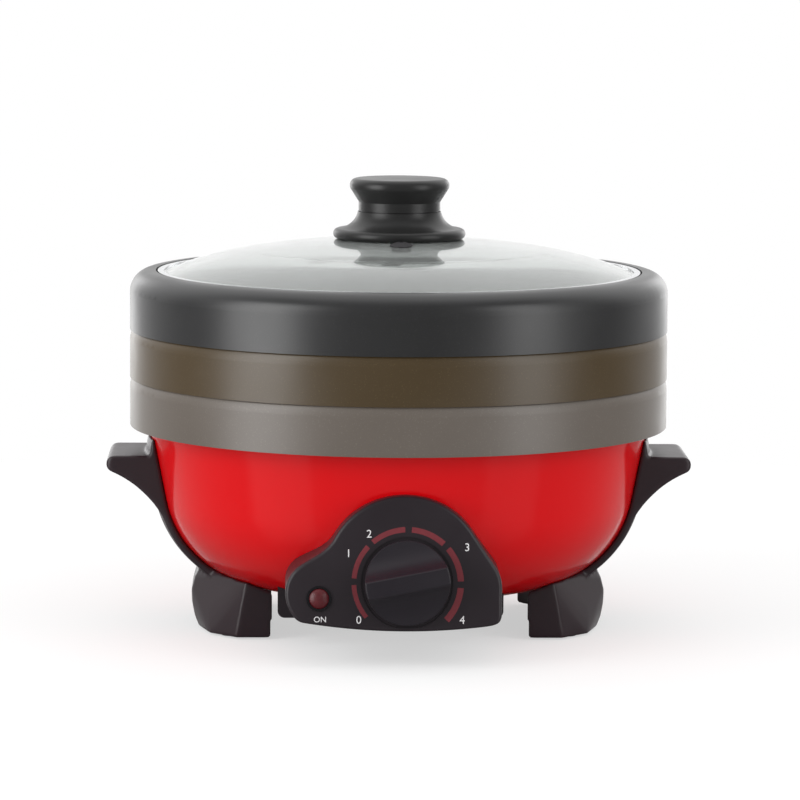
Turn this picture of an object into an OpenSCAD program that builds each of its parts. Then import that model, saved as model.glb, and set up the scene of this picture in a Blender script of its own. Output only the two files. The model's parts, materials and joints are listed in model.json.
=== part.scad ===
// Countertop multicooker: a bowl-shaped heater base with two handle-and-leg mouldings, a tilted
// control panel, three nested pots with equal rim bands, and a lift-off glass lid.
// Millimetres, +Z up, the control panel faces -Y. The base stands on z = 0.

/* [Pot rims] */
// Outer radius of every pot's rim band
rim_r = 156; // [120:1:190]
// Height of the rim band, crest to lower edge
rim_h = 34; // [28:0.5:45]
// Metal thickness of the rim band
rim_t = 2.4; // [1.5:0.1:4]
// Radius of the rim's rounded shoulder
shoulder_r = 12; // [8:0.5:16]
// Thickness of the band's thinned lower edge
edge_t = 1; // [0.6:0.1:1.4]
// Height of the chamfer inside the band's lower edge
edge_h = 2.5; // [1:0.5:5]
// Width of the rim, from the band in to the lid's recess
rim_w = 15; // [13.5:0.5:20]
// Depth of the lid recess below the crest
seat_depth = 5.2; // [5:0.1:8]
// Width of the ledge that carries the lid
ledge_w = 6.5; // [5:0.5:10]

/* [Pot bodies] */
// Wall thickness of the pots
pot_t = 2.5; // [1.5:0.1:4]
// Draft of the pot walls, in degrees
pot_draft = 8.3; // [6:0.1:12]
// Outer radius between a pot's wall and its floor
pot_fillet = 40; // [25:1:45]
// Crest to underside, middle pot
middle_pot_h = 86; // [70:0.5:100]
// Crest to underside, shallow pot
shallow_pot_h = 66; // [50:0.5:80]

/* [Base] */
// Height of the bowl's flat underside above the table
bowl_z = 25; // [20:0.5:35]
// Radius of the bowl's rounded side
bowl_arc_r = 62; // [45:0.5:75]
// Flare of the bowl's upper wall, in degrees
bowl_flare = 10.9; // [6:0.1:16]
// Height of the bowl's upper edge
bowl_rim_z = 119; // [110:0.5:125]
// Thickness of the pressed steel shell
shell_t = 1.2; // [0.8:0.1:2]
// Space between the shell and the heat shield
shield_gap = 6; // [5:0.5:10]
// Thickness of the heat shield
shield_t = 0.8; // [0.5:0.1:1.5]
// Height of the heating plate's top face
plate_z = 47; // [44:0.5:55]
// Radius of the heating plate
plate_r = 78; // [60:1:84]
// Thickness of the heating plate
plate_t = 9; // [6:0.5:12]

/* [Handles and feet] */
// How far each handle stands out beyond the pots' bands
handle_reach = 13; // [6:0.5:25]
// Height of the handles' flat top
handle_z = 101.4; // [92:0.2:108]
// Width of each handle, front to back
handle_w = 63; // [45:1:80]
// Thickness of the strap below the handle
strap_t = 4.4; // [4:0.1:9]
// Height of the flange above the handle's top
flange_h = 9.5; // [5:0.5:14]
// Height of each foot
foot_h = 37; // [34:0.5:40]
// Half the length of each foot, front to back
foot_y = 62; // [50:1:75]
// Bulge of the feet's outer wall
foot_bulge = 4.5; // [0:0.5:7]
// How far the rubber pads stand out below the feet
pad_out = 0.8; // [0.4:0.1:2]

/* [Control panel] */
// Lean of the panel, in degrees
panel_tilt = 8; // [0:0.5:12]
// How far the panel's face stands behind the front of the pots' bands, at the dial
panel_set = 3; // [0:0.5:6]
// Sideways place of the dial
dial_x = 1.5; // [-4:0.1:8]
// Height of the dial's centre
dial_z = 47.4; // [42:0.1:55]
// Wall thickness of the panel
panel_t = 2.6; // [2:0.1:4]
// Radius of the panel's rounded top
panel_dome_r = 44.5; // [38:0.5:50]

/* [Dial and lamp] */
// Radius of the dial
dial_r = 23.4; // [18:0.1:24]
// Height of the dial above the panel
dial_h = 20; // [14:0.5:26]
// Direction of the dial's pointer at rest, in degrees from the right
dial_rest = 11; // [-40:1:90]
// Radius of the thermostat shaft
shaft_r = 3; // [2.5:0.1:4]
// Radius of the lamp lens
lens_r = 5.6; // [4:0.1:8]
// Sideways place of the lamp from the dial
lamp_u = -48.4; // [-54:0.1:-40]
// Height of the lamp from the dial
lamp_v = -8.6; // [-14:0.1:0]

/* [Lid] */
// Sheet thickness of the steel rim
lid_rim_t = 0.6; // [0.4:0.1:1]
// Thickness of the glass
glass_t = 3.7; // [3:0.1:5]
// Crown radius of the glass
crown_r = 560; // [400:10:700]
// Radius of the glass near its edge
edge_arc_r = 210; // [150:5:260]
// Distance from the axis where the two glass curves meet
blend_r = 88; // [60:1:100]
// Outer radius of the knob's foot
knob_foot_r = 38.4; // [30:0.2:44]
// Radius of the knob's neck
knob_neck_r = 23.7; // [16:0.1:28]
// Radius of the knob's top
knob_top_r = 28.9; // [22:0.1:36]
// Height of the knob above the glass
knob_h = 34; // [26:0.5:44]
// Distance of the steam vent from the axis
vent_r = 45.4; // [43:0.2:60]

/* [Clearances] */
// Gap between parts that lie against each other
fit = 0.15; // [0.05:0.05:0.4]
// Radial clearance of the turning shaft
run_fit = 0.06; // [0.02:0.01:0.1]
// Radial clearance of screws in their holes
screw_fit = 0.1; // [0.05:0.05:0.4]
// Space between the bowl's edge and the deep pot's band
band_gap = 7.8; // [5:0.1:12]
// How far the deep pot's band hangs below the bowl's edge
band_lap = 1.7; // [0.5:0.1:5]
// Gap between a band's lower edge and the shoulder of the pot below
nest_gap = 0.44; // [0.35:0.01:0.8]
// Gap around the lid in its recess
lid_gap = 1; // [0.5:0.1:2]

/* [Hidden] */
$fn = 96;
// Overlap of shapes that run into each other.
lap = 0.04;
lap_a = 0.01;
seat_r = rim_r - rim_w;
mouth_r = seat_r - ledge_w;
lid_r = seat_r - lid_gap;
nest_reach = shoulder_r - edge_t - nest_gap;
nest_lap = shoulder_r - sqrt(shoulder_r * shoulder_r - nest_reach * nest_reach);
nest_pitch = rim_h - nest_lap;
bowl_cz = bowl_z + bowl_arc_r;
bowl_tz = bowl_cz - bowl_arc_r * sin(bowl_flare);
bowl_edge_r = rim_r - rim_t - band_gap;
bowl_flat_r = bowl_edge_r - bowl_arc_r * cos(bowl_flare) - (bowl_rim_z - bowl_tz) * tan(bowl_flare);
bowl_tr = bowl_flat_r + bowl_arc_r * cos(bowl_flare);
bead_r = 1.6;
shield_top_z = bowl_rim_z + bead_r + fit;
shield_floor_z = bowl_z + shield_gap + shield_t;
bottom_hole_r = bowl_flat_r - 20.5;
shield_hole_r = bowl_flat_r - 13.5;
post_r = 5;
post_at = bowl_flat_r - 6.5;
plate_screw_r = 2;
cover_r = bowl_flat_r - 12;
cover_t = 1.4;
cover_drop = 4;
cover_screw_at = cover_r - 4.5;
cover_dish_r = cover_r - 16.5;
cover_slant = 6;
slot_l = 44;
slot_pitch = 9;
cover_screw_r = 1.6;
deep_z = bowl_rim_z - band_lap + rim_h;
deep_pot_h = deep_z - plate_z;
middle_z = deep_z + nest_pitch;
shallow_z = middle_z + nest_pitch;
lid_z = shallow_z - seat_depth;
leg_screw_z = [handle_z - 12.9, handle_z - 4.2];
leg_screw_r = 1.9;
leg_screw_l = 9;
handle_x = rim_r + handle_reach;
strap_top_z = handle_z + flange_h;
foot_in_r = bowl_flat_r + 19.8;
foot_x = foot_in_r + 19.2;
foot_in_x = sqrt(foot_in_r * foot_in_r - foot_y * foot_y);
lip_t = 1.2;
grip_r = 4.8;
grip_corner = 3;
grip_hollow_r = 62.9;
grip_hollow_a = -66.9;
// Corners of a foot's plan at the table, from its outermost point and its end.
foot_corner = [[21.8, 0], [6.5, 16], [0, 40]];
foot_lean = [[6.3, 0], [5, 15.5], [0, 5]];
foot_belly = 0.56;
foot_neck = 0.36;
foot_cap = 15;
pad_x = foot_in_r + 0.2;
pad_y = 46;
pad_r = 5.5;
pad_t = 2.8;
bush_r = 5;
stat_screw_r = 1.5;
stat_screw_at = 14;
panel_y = rim_r - panel_set;
dial_gap = 1.4;
recess_r = dial_r + 1.9;
recess_d = 0.8;
panel_lip = 1.1;
panel_edge = 1.2;
panel_floor = panel_t + recess_d;
// Circles that round the panel's outline, clockwise from its dome, each as [sideways, up, radius].
panel_foot = 25;
panel_round = [[-1, 3, panel_dome_r], [32.4, -2.7, 20], [44.4, 8 - panel_foot, 8], [-44, 8 - panel_foot, 8]];
panel_lobe = [lamp_u, lamp_v + 2.6, 18.6];
panel_blend = 13;
blend_lap = 0.01;
panel_low_r = 362;
panel_low = 26.6;
panel_screw_y = bowl_flat_r + 23.5;
panel_screw_x = [dial_x - 30, dial_x + 30];
boss_h = 4;
block_y = panel_y - 26;
bracket_x = [foot_in_x - 3.9, foot_in_x - 15.5];
bracket_y = bowl_flat_r + 7.5;
bracket_w = 18;
bracket_z = 16.2;
bracket_lug_t = 3;
bracket_lug_z = dial_z - panel_low - fit;
bracket_tab_x = 30;
bracket_tab_y = bowl_flat_r - 6;
bracket_web = 3;
bezel_t = 0.6;
element_r = 3.2;
element_at = post_at - 16;
element_z = plate_z - plate_t - 0.4;
bulb_r = 3;
bulb_z = plate_z - plate_t - bulb_r - 0.2;
bulb_front = element_at - 16;
bulb_back = element_at - 30;
clip_w = 6;
clip_y = [-bulb_front + 12, bulb_back - 12];
fuse_y = bulb_front - 18;
tube_x = dial_x + 6.5;
tube_end = panel_y - 31;
gland_a = 20;
gland_out = 12;
gland_in = 3.8;
gland_neck_r = 6;
gland_bore_r = 3.7;
gland_relief_r = 4.6;
gland_relief = 2.5;
glass_z = lid_rim_t + 0.05;
glass_edge_z = glass_z + glass_t;
glass_edge_r = lid_r - 5;
crown_a = asin(blend_r / crown_r);
edge_a = asin(sin(crown_a) + (glass_edge_r - blend_r) / edge_arc_r);
dome_h = crown_r * (1 - cos(crown_a)) + edge_arc_r * (cos(crown_a) - cos(edge_a));
knob_z = glass_edge_z + dome_h;
knob_screw_r = 2.4;
knob_split = knob_h * 0.438;
vent_neck_r = 4;
hollow_r = 24;
hollow_at = 27;
hollow_up = 9;
dial_chamfer = 1.2;
bar_w = hollow_at - sqrt(hollow_r * hollow_r - hollow_up * hollow_up);
bar_l = sqrt(pow(dial_r - dial_chamfer, 2) - bar_w * bar_w);
dial_lean = (bar_w * cos(dial_rest) + bar_l * abs(sin(dial_rest))) * sin(panel_tilt);
front_reach = panel_y + dial_h * cos(panel_tilt) + dial_lean;
axis_y = (front_reach - rim_r) / 2;

function bowl_r(z) = z < bowl_tz
    ? bowl_flat_r + sqrt(bowl_arc_r * bowl_arc_r - (bowl_cz - z) * (bowl_cz - z))
    : bowl_tr + (z - bowl_tz) * tan(bowl_flare);

function glass_drop(r) = crown_r - sqrt(crown_r * crown_r - r * r);

// Outward direction at the back of the bowl, gland_a below level, from the bowl's surface.
module on_back() {
    translate([0, bowl_flat_r, bowl_cz]) rotate([-90 - gland_a, 0, 0])
        translate([0, 0, bowl_arc_r]) children();
}

// Ring between two radii, kept between two angles less than 180 degrees apart.
module ring_sector(r_out, r_in, a0, a1) {
    far = 2 * r_out;
    am = (a0 + a1) / 2;
    intersection() {
        difference() {
            circle(r_out);
            circle(r_in);
        }
        polygon([[0, 0], far * [cos(a0), sin(a0)], far * [cos(am), sin(am)], far * [cos(a1), sin(a1)]]);
    }
}

// Area inside the bowl's outer surface, drawn in by inset (negative: drawn out).
module bowl_area(inset, top) {
    r = bowl_arc_r - inset;
    tz = bowl_cz - r * sin(bowl_flare);
    tr = bowl_flat_r + r * cos(bowl_flare);
    translate([0, bowl_z + inset]) square([bowl_flat_r, top - bowl_z - inset]);
    intersection() {
        translate([bowl_flat_r, bowl_cz]) circle(r);
        translate([bowl_flat_r, bowl_z + inset]) square([r, tz - bowl_z - inset]);
    }
    polygon([[bowl_flat_r, tz], [tr, tz], [tr + (top - tz) * tan(bowl_flare), top], [bowl_flat_r, top]]);
}

module bowl_body(inset, top) {
    rotate_extrude() bowl_area(inset, top);
}

// Local +Z leads straight out of the bowl's flared wall at height z, on the right-hand side.
module on_flare(z) {
    translate([bowl_r(z), 0, z]) rotate([0, 90 + bowl_flare, 0]) children();
}

// Local X to the right, Y up the panel, Z out of the panel's face, with the dial at the centre.
module on_panel() {
    translate([dial_x, -panel_y, dial_z]) rotate([90 - panel_tilt, 0, 0]) children();
}

module around(count, start, r) {
    for (i = [0 : count - 1]) {
        rotate([0, 0, start + i * 360 / count]) translate([r, 0, 0]) children();
    }
}

// Pan-head screw, its head's bearing face at z = 0 and its shank rising from there.
module pan_screw(head_r, head_h, shank_r, length) {
    difference() {
        translate([0, 0, -head_h]) cylinder(r1 = head_r * 0.82, r2 = head_r, h = head_h);
        for (a = [0, 90]) {
            rotate([0, 0, a]) translate([-head_r * 0.5, -0.4, -head_h - 0.1]) cube([head_r, 0.8, 1.1]);
        }
    }
    cylinder(r = shank_r, h = length);
}

// Area inside a pot's outer wall, drawn in by inset, up to a height below the crest.
module pot_fill(h, inset, top) {
    r = pot_fillet - inset;
    cz = pot_fillet - h;
    mouth_out = mouth_r + pot_t / cos(pot_draft);
    wall_r = mouth_out + (cz - pot_fillet * sin(pot_draft) + seat_depth) * tan(pot_draft);
    cr = wall_r - pot_fillet * cos(pot_draft);
    tz = cz - r * sin(pot_draft);
    tr = cr + r * cos(pot_draft);
    translate([0, inset - h]) square([cr, top + h - inset]);
    intersection() {
        translate([cr, cz]) circle(r);
        translate([cr, inset - h]) square([r, tz + h - inset]);
    }
    polygon([[cr, tz], [tr, tz], [tr + (top - tz) * tan(pot_draft), top], [cr, top]]);
}

// Area below a pot's rim, out to its band, with a rounded shoulder.
module rim_fill(r_in, r_out, top, corner) {
    translate([r_in, -rim_h - 1]) square([r_out - corner - r_in, rim_h + 1 + top]);
    translate([r_in, -rim_h - 1]) square([r_out - r_in, rim_h + 1 + top - corner]);
    intersection() {
        translate([r_out - corner, top - corner]) circle(corner);
        translate([r_out - corner, top - corner]) square(corner);
    }
}

// Section of a pot, with its crest at height 0.
module pot_area(h) {
    difference() {
        pot_fill(h, 0, -seat_depth);
        pot_fill(h, pot_t, 1 - seat_depth);
    }
    translate([mouth_r, -seat_depth - rim_t]) square([seat_r + rim_t - mouth_r, rim_t]);
    difference() {
        rim_fill(seat_r, rim_r, 0, shoulder_r);
        rim_fill(seat_r + rim_t, rim_r - rim_t, -rim_t, shoulder_r - rim_t);
        translate([seat_r - 1, -rim_h - 2]) square([rim_t + 2, rim_h + 2 - seat_depth - rim_t]);
        translate([seat_r, -rim_h - 2]) square([rim_r - seat_r + 1, 2]);
        polygon([[rim_r - rim_t - 1, -rim_h - 1], [rim_r - edge_t, -rim_h - 1], [rim_r - edge_t, -rim_h],
            [rim_r - rim_t, -rim_h + edge_h], [rim_r - rim_t - 1, -rim_h + edge_h]]);
    }
}

module pot(h) {
    rotate_extrude() pot_area(h);
}

module deep_pot() {
    color("#857b6f") translate([0, 0, deep_z]) pot(deep_pot_h);
}

module middle_pot() {
    color("#5f4f38") translate([0, 0, middle_z]) pot(middle_pot_h);
}

module shallow_pot() {
    color("#3a393b") translate([0, 0, shallow_z]) pot(shallow_pot_h);
}

module outer_shell() {
    color("#d02327") difference() {
        rotate_extrude() {
            difference() {
                bowl_area(0, bowl_rim_z);
                bowl_area(shell_t, bowl_rim_z + 1);
                square([bottom_hole_r, bowl_rim_z]);
            }
            translate([bowl_r(bowl_rim_z) - shell_t / 2, bowl_rim_z]) circle(bead_r);
        }
        around(3, 90, post_at) translate([0, 0, bowl_z - 1])
            cylinder(r = plate_screw_r + 3 * screw_fit, h = 4);
        around(3, 30, cover_screw_at) translate([0, 0, bowl_z - 1])
            cylinder(r = cover_screw_r + screw_fit, h = 4);
        for (side = [0, 1], z = leg_screw_z) {
            mirror([side, 0, 0]) on_flare(z) translate([0, 0, -4])
                cylinder(r = leg_screw_r + 3 * screw_fit, h = 8);
        }
        for (x = [-bracket_tab_x, bracket_tab_x]) {
            translate([x, -bracket_tab_y, bowl_z - 1]) cylinder(r = cover_screw_r + screw_fit, h = 4);
        }
        translate([tube_x - 31, -bowl_flat_r - 53.5, bulb_z - 2.8]) cube([35, 40, 14]);
        on_back() translate([0, 0, -20]) cylinder(r = gland_neck_r + fit, h = 40);
    }
}

module heat_shield() {
    r_top = bowl_r(bowl_rim_z);
    color("#b9babb") difference() {
        rotate_extrude() {
            difference() {
                bowl_area(shield_gap, shield_top_z);
                bowl_area(shield_gap + shield_t, shield_top_z + 1);
                square([shield_hole_r, bowl_rim_z]);
            }
            translate([r_top - shield_gap - shield_t, shield_top_z])
                square([shield_gap + shield_t, shield_t]);
        }
        around(3, 90, post_at) translate([0, 0, bowl_z])
            cylinder(r = plate_screw_r + 3 * screw_fit, h = 10);
        translate([tube_x - 3.5, -bowl_flat_r - 34, bulb_z - 3.4]) cube([7, 24, 7]);
    }
}

module heating_plate() {
    color("#a9abad") difference() {
        union() {
            translate([0, 0, plate_z - plate_t]) cylinder(r = plate_r, h = plate_t - 1.5);
            translate([0, 0, plate_z - 1.5]) cylinder(r1 = plate_r, r2 = plate_r - 1.5, h = 1.5);
            rotate_extrude() translate([element_at - 7, plate_z - plate_t - 3]) square([14, 3.5]);
            around(3, 90, post_at) translate([0, 0, shield_floor_z])
                cylinder(r = post_r, h = plate_z - plate_t - shield_floor_z + 1);
            around(3, 90, 0) translate([0, -post_r, plate_z - plate_t + 0.5])
                cube([post_at, 2 * post_r, plate_t - 2.5]);
        }
        rotate_extrude() translate([element_at, element_z]) circle(element_r + screw_fit);
        rotate_extrude() translate([element_at - element_r - screw_fit, element_z - 6])
            square([2 * (element_r + screw_fit), 6]);
        around(3, 90, post_at) translate([0, 0, shield_floor_z - 1])
            cylinder(r = plate_screw_r + screw_fit / 2, h = 12);
        translate([tube_x - 2, -element_at - 8, bulb_z - 3])
            cube([4, 16, plate_z - plate_t - bulb_z + 3]);
        for (r = [element_at - 14, element_at + 6]) {
            rotate_extrude() translate([r, plate_z - 0.6]) square([1.2, 1]);
        }
    }
}

// Tubular heater: most of a ring with two cold ends, each with a terminal pin.
module heating_element() {
    span = 316;
    color("#6e6a66") translate([0, 0, element_z]) rotate([0, 0, -90 + (360 - span) / 2]) {
        rotate_extrude(angle = span) translate([element_at, 0]) circle(element_r);
        for (a = [0, span]) {
            rotate([0, 0, a]) translate([element_at, 0, 0]) {
                sphere(element_r + screw_fit / 2);
                translate([0, 0, -6.5]) cylinder(r = element_r, h = 6.5);
                translate([0, 0, -10]) cylinder(r = 1.3, h = 4);
            }
        }
    }
}

module plate_spacers() {
    color("#8f9296") around(3, 90, post_at) translate([0, 0, bowl_z + shell_t]) difference() {
        cylinder(r = post_r, h = shield_gap - shell_t);
        translate([0, 0, -1]) cylinder(r = plate_screw_r + 2 * screw_fit, h = shield_gap + 2);
    }
}

module plate_screws() {
    color("#9da0a4") around(3, 90, post_at) translate([0, 0, bowl_z])
        pan_screw(4, 2.4, plate_screw_r, plate_z - plate_t - bowl_z - 1);
}

// Pressed cover under the base, dished, with cooling slots.
module bottom_cover() {
    flat = bowl_z - cover_t;
    color("#2b2a2c") difference() {
        rotate_extrude() polygon([[0, flat - cover_drop], [cover_dish_r, flat - cover_drop],
            [cover_dish_r + cover_slant, flat], [cover_r, flat], [cover_r, bowl_z],
            [cover_dish_r + cover_slant - 0.5, bowl_z], [cover_dish_r - 0.5, bowl_z - cover_drop],
            [0, bowl_z - cover_drop]]);
        for (i = [-3 : 3]) {
            translate([i * slot_pitch - 1.5, -slot_l / 2, flat - cover_drop - 1]) cube([3, slot_l, 4]);
        }
        around(3, 30, cover_screw_at) translate([0, 0, flat - 1])
            cylinder(r = cover_screw_r + screw_fit, h = 4);
    }
}

module bottom_cover_screws() {
    color("#9da0a4") around(3, 30, cover_screw_at) translate([0, 0, bowl_z - cover_t])
        pan_screw(3.2, 1.9, cover_screw_r, 7);
}

// How far a foot's outer wall swells at a part u of its height.
function foot_swell(u) = foot_bulge
    * (1 - pow((u - foot_belly) / (u < foot_belly ? foot_belly : foot_neck), 2));

// Plan of a foot at a part u of its height, drawn in by inset.
module foot_plan(u, inset) {
    x = [for (i = [0 : 2]) foot_x - foot_corner[i][0] - foot_lean[i][0] * u]
        + foot_swell(u) * [0, 0.5, 1] - inset * [0.75, 1, 1];
    y = [for (i = [0 : 2]) foot_y - foot_corner[i][1] - foot_lean[i][1] * u]
        + foot_swell(u) * [0.3, 0, 0] - inset * [1, 0.6, 0.3];
    polygon([[60, -y[0]], [x[0], -y[0]], [x[1], -y[1]], [x[2], -y[2]],
        [x[2], y[2]], [x[1], y[1]], [x[0], y[0]], [60, y[0]]]);
}

// Foot that swells out below the strap and runs up to the bowl; hollow below, with ribs and pad bosses.
module foot() {
    difference() {
        hull() {
            translate([0, 0, pad_out]) linear_extrude(0.02) foot_plan(0, 0);
            for (u = [0.19, 0.4, 0.6, 0.79, 0.9, 0.985]) {
                translate([0, 0, foot_h * u]) linear_extrude(0.02) foot_plan(u, 0);
            }
        }
        translate([0, 0, -1]) cylinder(r = foot_in_r, h = foot_h + 2);
        difference() {
            translate([0, 0, -1]) linear_extrude(foot_h - foot_cap + 1) difference() {
                intersection() {
                    foot_plan(0, 4);
                    foot_plan(1 - foot_cap / foot_h, 4);
                }
                circle(foot_in_r + 4);
            }
            for (y = [-pad_y, pad_y]) {
                translate([pad_x, y, -2]) cylinder(r = pad_r + 2.2, h = foot_h);
            }
            for (y = [-20, 20]) {
                translate([80, y - 1.3, -2]) cube([40, 2.6, foot_h]);
            }
        }
        for (y = [-pad_y, pad_y]) {
            translate([pad_x, y, -1]) cylinder(r = pad_r + fit, h = pad_t + 1);
        }
    }
}

// Front view of a handle: flat on top, round at its end, hollow below.
module grip_area() {
    end = [handle_x - grip_r, handle_z - grip_r];
    down = [cos(grip_hollow_a), sin(grip_hollow_a)];
    translate(end) circle(grip_r + blend_lap);
    difference() {
        polygon([[end[0], handle_z], end, end + (grip_r + 3) * down, [handle_x - 24, handle_z - 42],
            [handle_x - 51, handle_z - 42], [handle_x - 51, handle_z]]);
        translate(end + (grip_r + grip_hollow_r) * down) circle(grip_hollow_r);
    }
}

// Section of the strap, which thins to a lip above the handle.
module strap_area() {
    difference() {
        bowl_area(-strap_t, strap_top_z);
        polygon([[bowl_r(handle_z) + strap_t + 0.5, handle_z - 2],
            [bowl_r(strap_top_z) + lip_t, strap_top_z + 0.1],
            [handle_x, strap_top_z + 0.1], [handle_x, handle_z - 2]]);
    }
}

module handle_leg() {
    c = grip_corner;
    difference() {
        union() {
            intersection() {
                translate([0, handle_w / 2, 0]) rotate([90, 0, 0]) linear_extrude(handle_w) grip_area();
                linear_extrude(strap_top_z + 1) union() {
                    translate([80, -handle_w / 2]) square([handle_x - 80 - c, handle_w]);
                    translate([handle_x - 20, c - handle_w / 2]) square([20 + blend_lap, handle_w - 2 * c]);
                    for (y = [c - handle_w / 2, handle_w / 2 - c]) {
                        translate([handle_x - c, y]) circle(c + blend_lap);
                    }
                }
            }
            intersection() {
                rotate_extrude() strap_area();
                translate([foot_in_r + 1.7, -handle_w / 2, foot_h * 0.7])
                    cube([100, handle_w, strap_top_z - foot_h * 0.7]);
            }
            foot();
        }
        bowl_body(-fit, strap_top_z + 5);
        for (z = leg_screw_z) {
            on_flare(z) translate([0, 0, -1])
                cylinder(r = leg_screw_r + screw_fit / 2, h = leg_screw_l + 1.3);
        }
    }
}

module left_handle_leg() {
    color("#2d282c") mirror([1, 0, 0]) handle_leg();
}

module right_handle_leg() {
    color("#2d282c") handle_leg();
}

module leg_screws() {
    color("#9da0a4") for (side = [0, 1], z = leg_screw_z) {
        mirror([side, 0, 0]) on_flare(z) translate([0, 0, -shell_t - fit])
            pan_screw(4, 2.2, leg_screw_r, leg_screw_l);
    }
}

module foot_pads() {
    color("#1d1c1e") for (x = [-pad_x, pad_x], y = [-pad_y, pad_y]) {
        translate([x, y, 0]) cylinder(r = pad_r, h = pad_t);
    }
}

// Direction square to the outer tangent from circle a to circle b, on its left-hand side.
function tangent_a(a, b) = atan2(b[1] - a[1], b[0] - a[0])
    + acos((a[2] - b[2]) / norm([b[0] - a[0], b[1] - a[1]]));

function on_round(c, a) = [c[0] + c[2] * cos(a), c[1] + c[2] * sin(a)];

function tucked(c) = [c[0], c[1], c[2] - blend_lap];

// Two circles and the area between their outer tangents, which lie a hair inside the circles.
module belt(a, b) {
    left = tangent_a(a, b);
    right = 2 * atan2(b[1] - a[1], b[0] - a[0]) - left;
    polygon([on_round(tucked(a), left), on_round(tucked(b), left),
        on_round(tucked(b), right), on_round(tucked(a), right)]);
    for (c = [a, b]) {
        translate([c[0], c[1]]) circle(c[2]);
    }
}

// Front outline of the control panel, drawn in by inset: a dome over the dial, and a lobe around the lamp
// that runs into the dome's straight side with a hollow round.
module panel_area(inset) {
    round = [for (c = panel_round) [c[0], c[1], c[2] - inset]];
    side_a = tangent_a(round[3], round[0]);
    out = [cos(side_a), sin(side_a)];
    up = [out[1], -out[0]];
    lobe = [panel_lobe[0], panel_lobe[1]];
    start = on_round(round[3], side_a) + (panel_blend + inset - 2 * blend_lap) * out;
    w = start - lobe;
    reach = panel_lobe[2] + panel_blend - blend_lap;
    t = sqrt((w * up) * (w * up) - w * w + reach * reach) - w * up;
    blend = start + t * up;
    intersection() {
        union() {
            for (i = [0 : 3]) {
                belt(round[i], round[(i + 1) % 4]);
            }
            polygon([for (c = round) [c[0], c[1]]]);
            translate(lobe) circle(panel_lobe[2] - inset);
            difference() {
                polygon([blend - (panel_blend + inset) * out, blend, lobe, [round[3][0], round[3][1]]]);
                translate(blend) circle(panel_blend + inset);
            }
        }
        translate([0, panel_low_r - panel_low]) circle(panel_low_r - inset);
    }
}

// The outline carried straight back from the leaning face, cut off at a depth behind the face.
module panel_prism(inset, depth, back) {
    intersection() {
        translate([dial_x, -back, dial_z]) rotate([90, 0, 0])
            linear_extrude(panel_y - back + 20) panel_area(inset);
        on_panel() translate([-150, -150, -300]) cube([300, 300, 300 - depth]);
    }
}

// The panel's cap: a face with a stepped edge, and a rim that runs back to the bowl.
module control_panel() {
    back = bracket_y + fit;
    color("#302d30") difference() {
        union() {
            difference() {
                union() {
                    panel_prism(0, panel_lip, back);
                    panel_prism(panel_edge, 0, back + 10);
                }
                panel_prism(panel_t, panel_floor, back - 1);
            }
            for (x = panel_screw_x) {
                translate([x, -panel_screw_y, dial_z - panel_low])
                    cylinder(r = 4, h = panel_low - panel_foot + panel_t + boss_h);
            }
        }
        on_panel() {
            translate([0, 0, -recess_d]) cylinder(r = recess_r, h = 5);
            translate([0, 0, -10]) cylinder(r = bush_r + fit, h = 20);
            for (u = [-stat_screw_at, stat_screw_at]) {
                translate([u, 0, -10]) cylinder(r = stat_screw_r + 2 * screw_fit, h = 20);
            }
            translate([lamp_u, lamp_v, -10]) cylinder(r = lens_r + bezel_t + fit, h = 20);
        }
        bowl_body(-fit, 110);
        for (x = panel_screw_x) {
            translate([x, -panel_screw_y, dial_z - panel_low - 1])
                cylinder(r = cover_screw_r + screw_fit / 2, h = panel_low - panel_foot + panel_t + boss_h);
        }
    }
}

// Moulded rail under the bowl that closes the panel's rim and carries it on two lugs.
module panel_bracket() {
    corner = 4;
    color("#221f23") difference() {
        union() {
            translate([0, bracket_w - bracket_y, bracket_z]) rotate([90, 0, 0]) linear_extrude(bracket_w) {
                translate([corner - bracket_x[0], 0]) square([bracket_x[0] + bracket_x[1] - 2 * corner, 20]);
                translate([-bracket_x[0], corner]) square([bracket_x[0] + bracket_x[1], 20 - corner]);
                for (x = [corner - bracket_x[0], bracket_x[1] - corner]) {
                    translate([x, corner]) circle(corner);
                }
            }
            for (x = panel_screw_x) {
                translate([x - 8, -panel_screw_y - 6, bracket_lug_z - bracket_lug_t])
                    cube([16, panel_screw_y - bracket_y + 8, bracket_lug_t]);
            }
        }
        bowl_body(-fit, 110);
        for (x = [-bracket_tab_x, bracket_tab_x]) {
            translate([x, -bracket_tab_y, bracket_z - 1])
                cylinder(r = 3.8, h = bowl_z - bracket_web - bracket_z + 1);
            translate([x, -bracket_tab_y, bracket_z]) cylinder(r = cover_screw_r + 2 * screw_fit, h = 20);
        }
        for (x = panel_screw_x) {
            translate([x, -panel_screw_y, bracket_lug_z - bracket_lug_t - 1])
                cylinder(r = cover_screw_r + 2 * screw_fit, h = bracket_lug_t + 2);
        }
    }
}

module bracket_screws() {
    color("#9da0a4") for (x = [-bracket_tab_x, bracket_tab_x]) {
        translate([x, -bracket_tab_y, bowl_z - bracket_web]) pan_screw(3.2, 1.9, cover_screw_r, 7);
    }
}

module panel_screws() {
    color("#9da0a4") for (x = panel_screw_x) {
        translate([x, -panel_screw_y, bracket_lug_z - bracket_lug_t]) pan_screw(3.2, 1.9, cover_screw_r, 8);
    }
}

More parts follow.
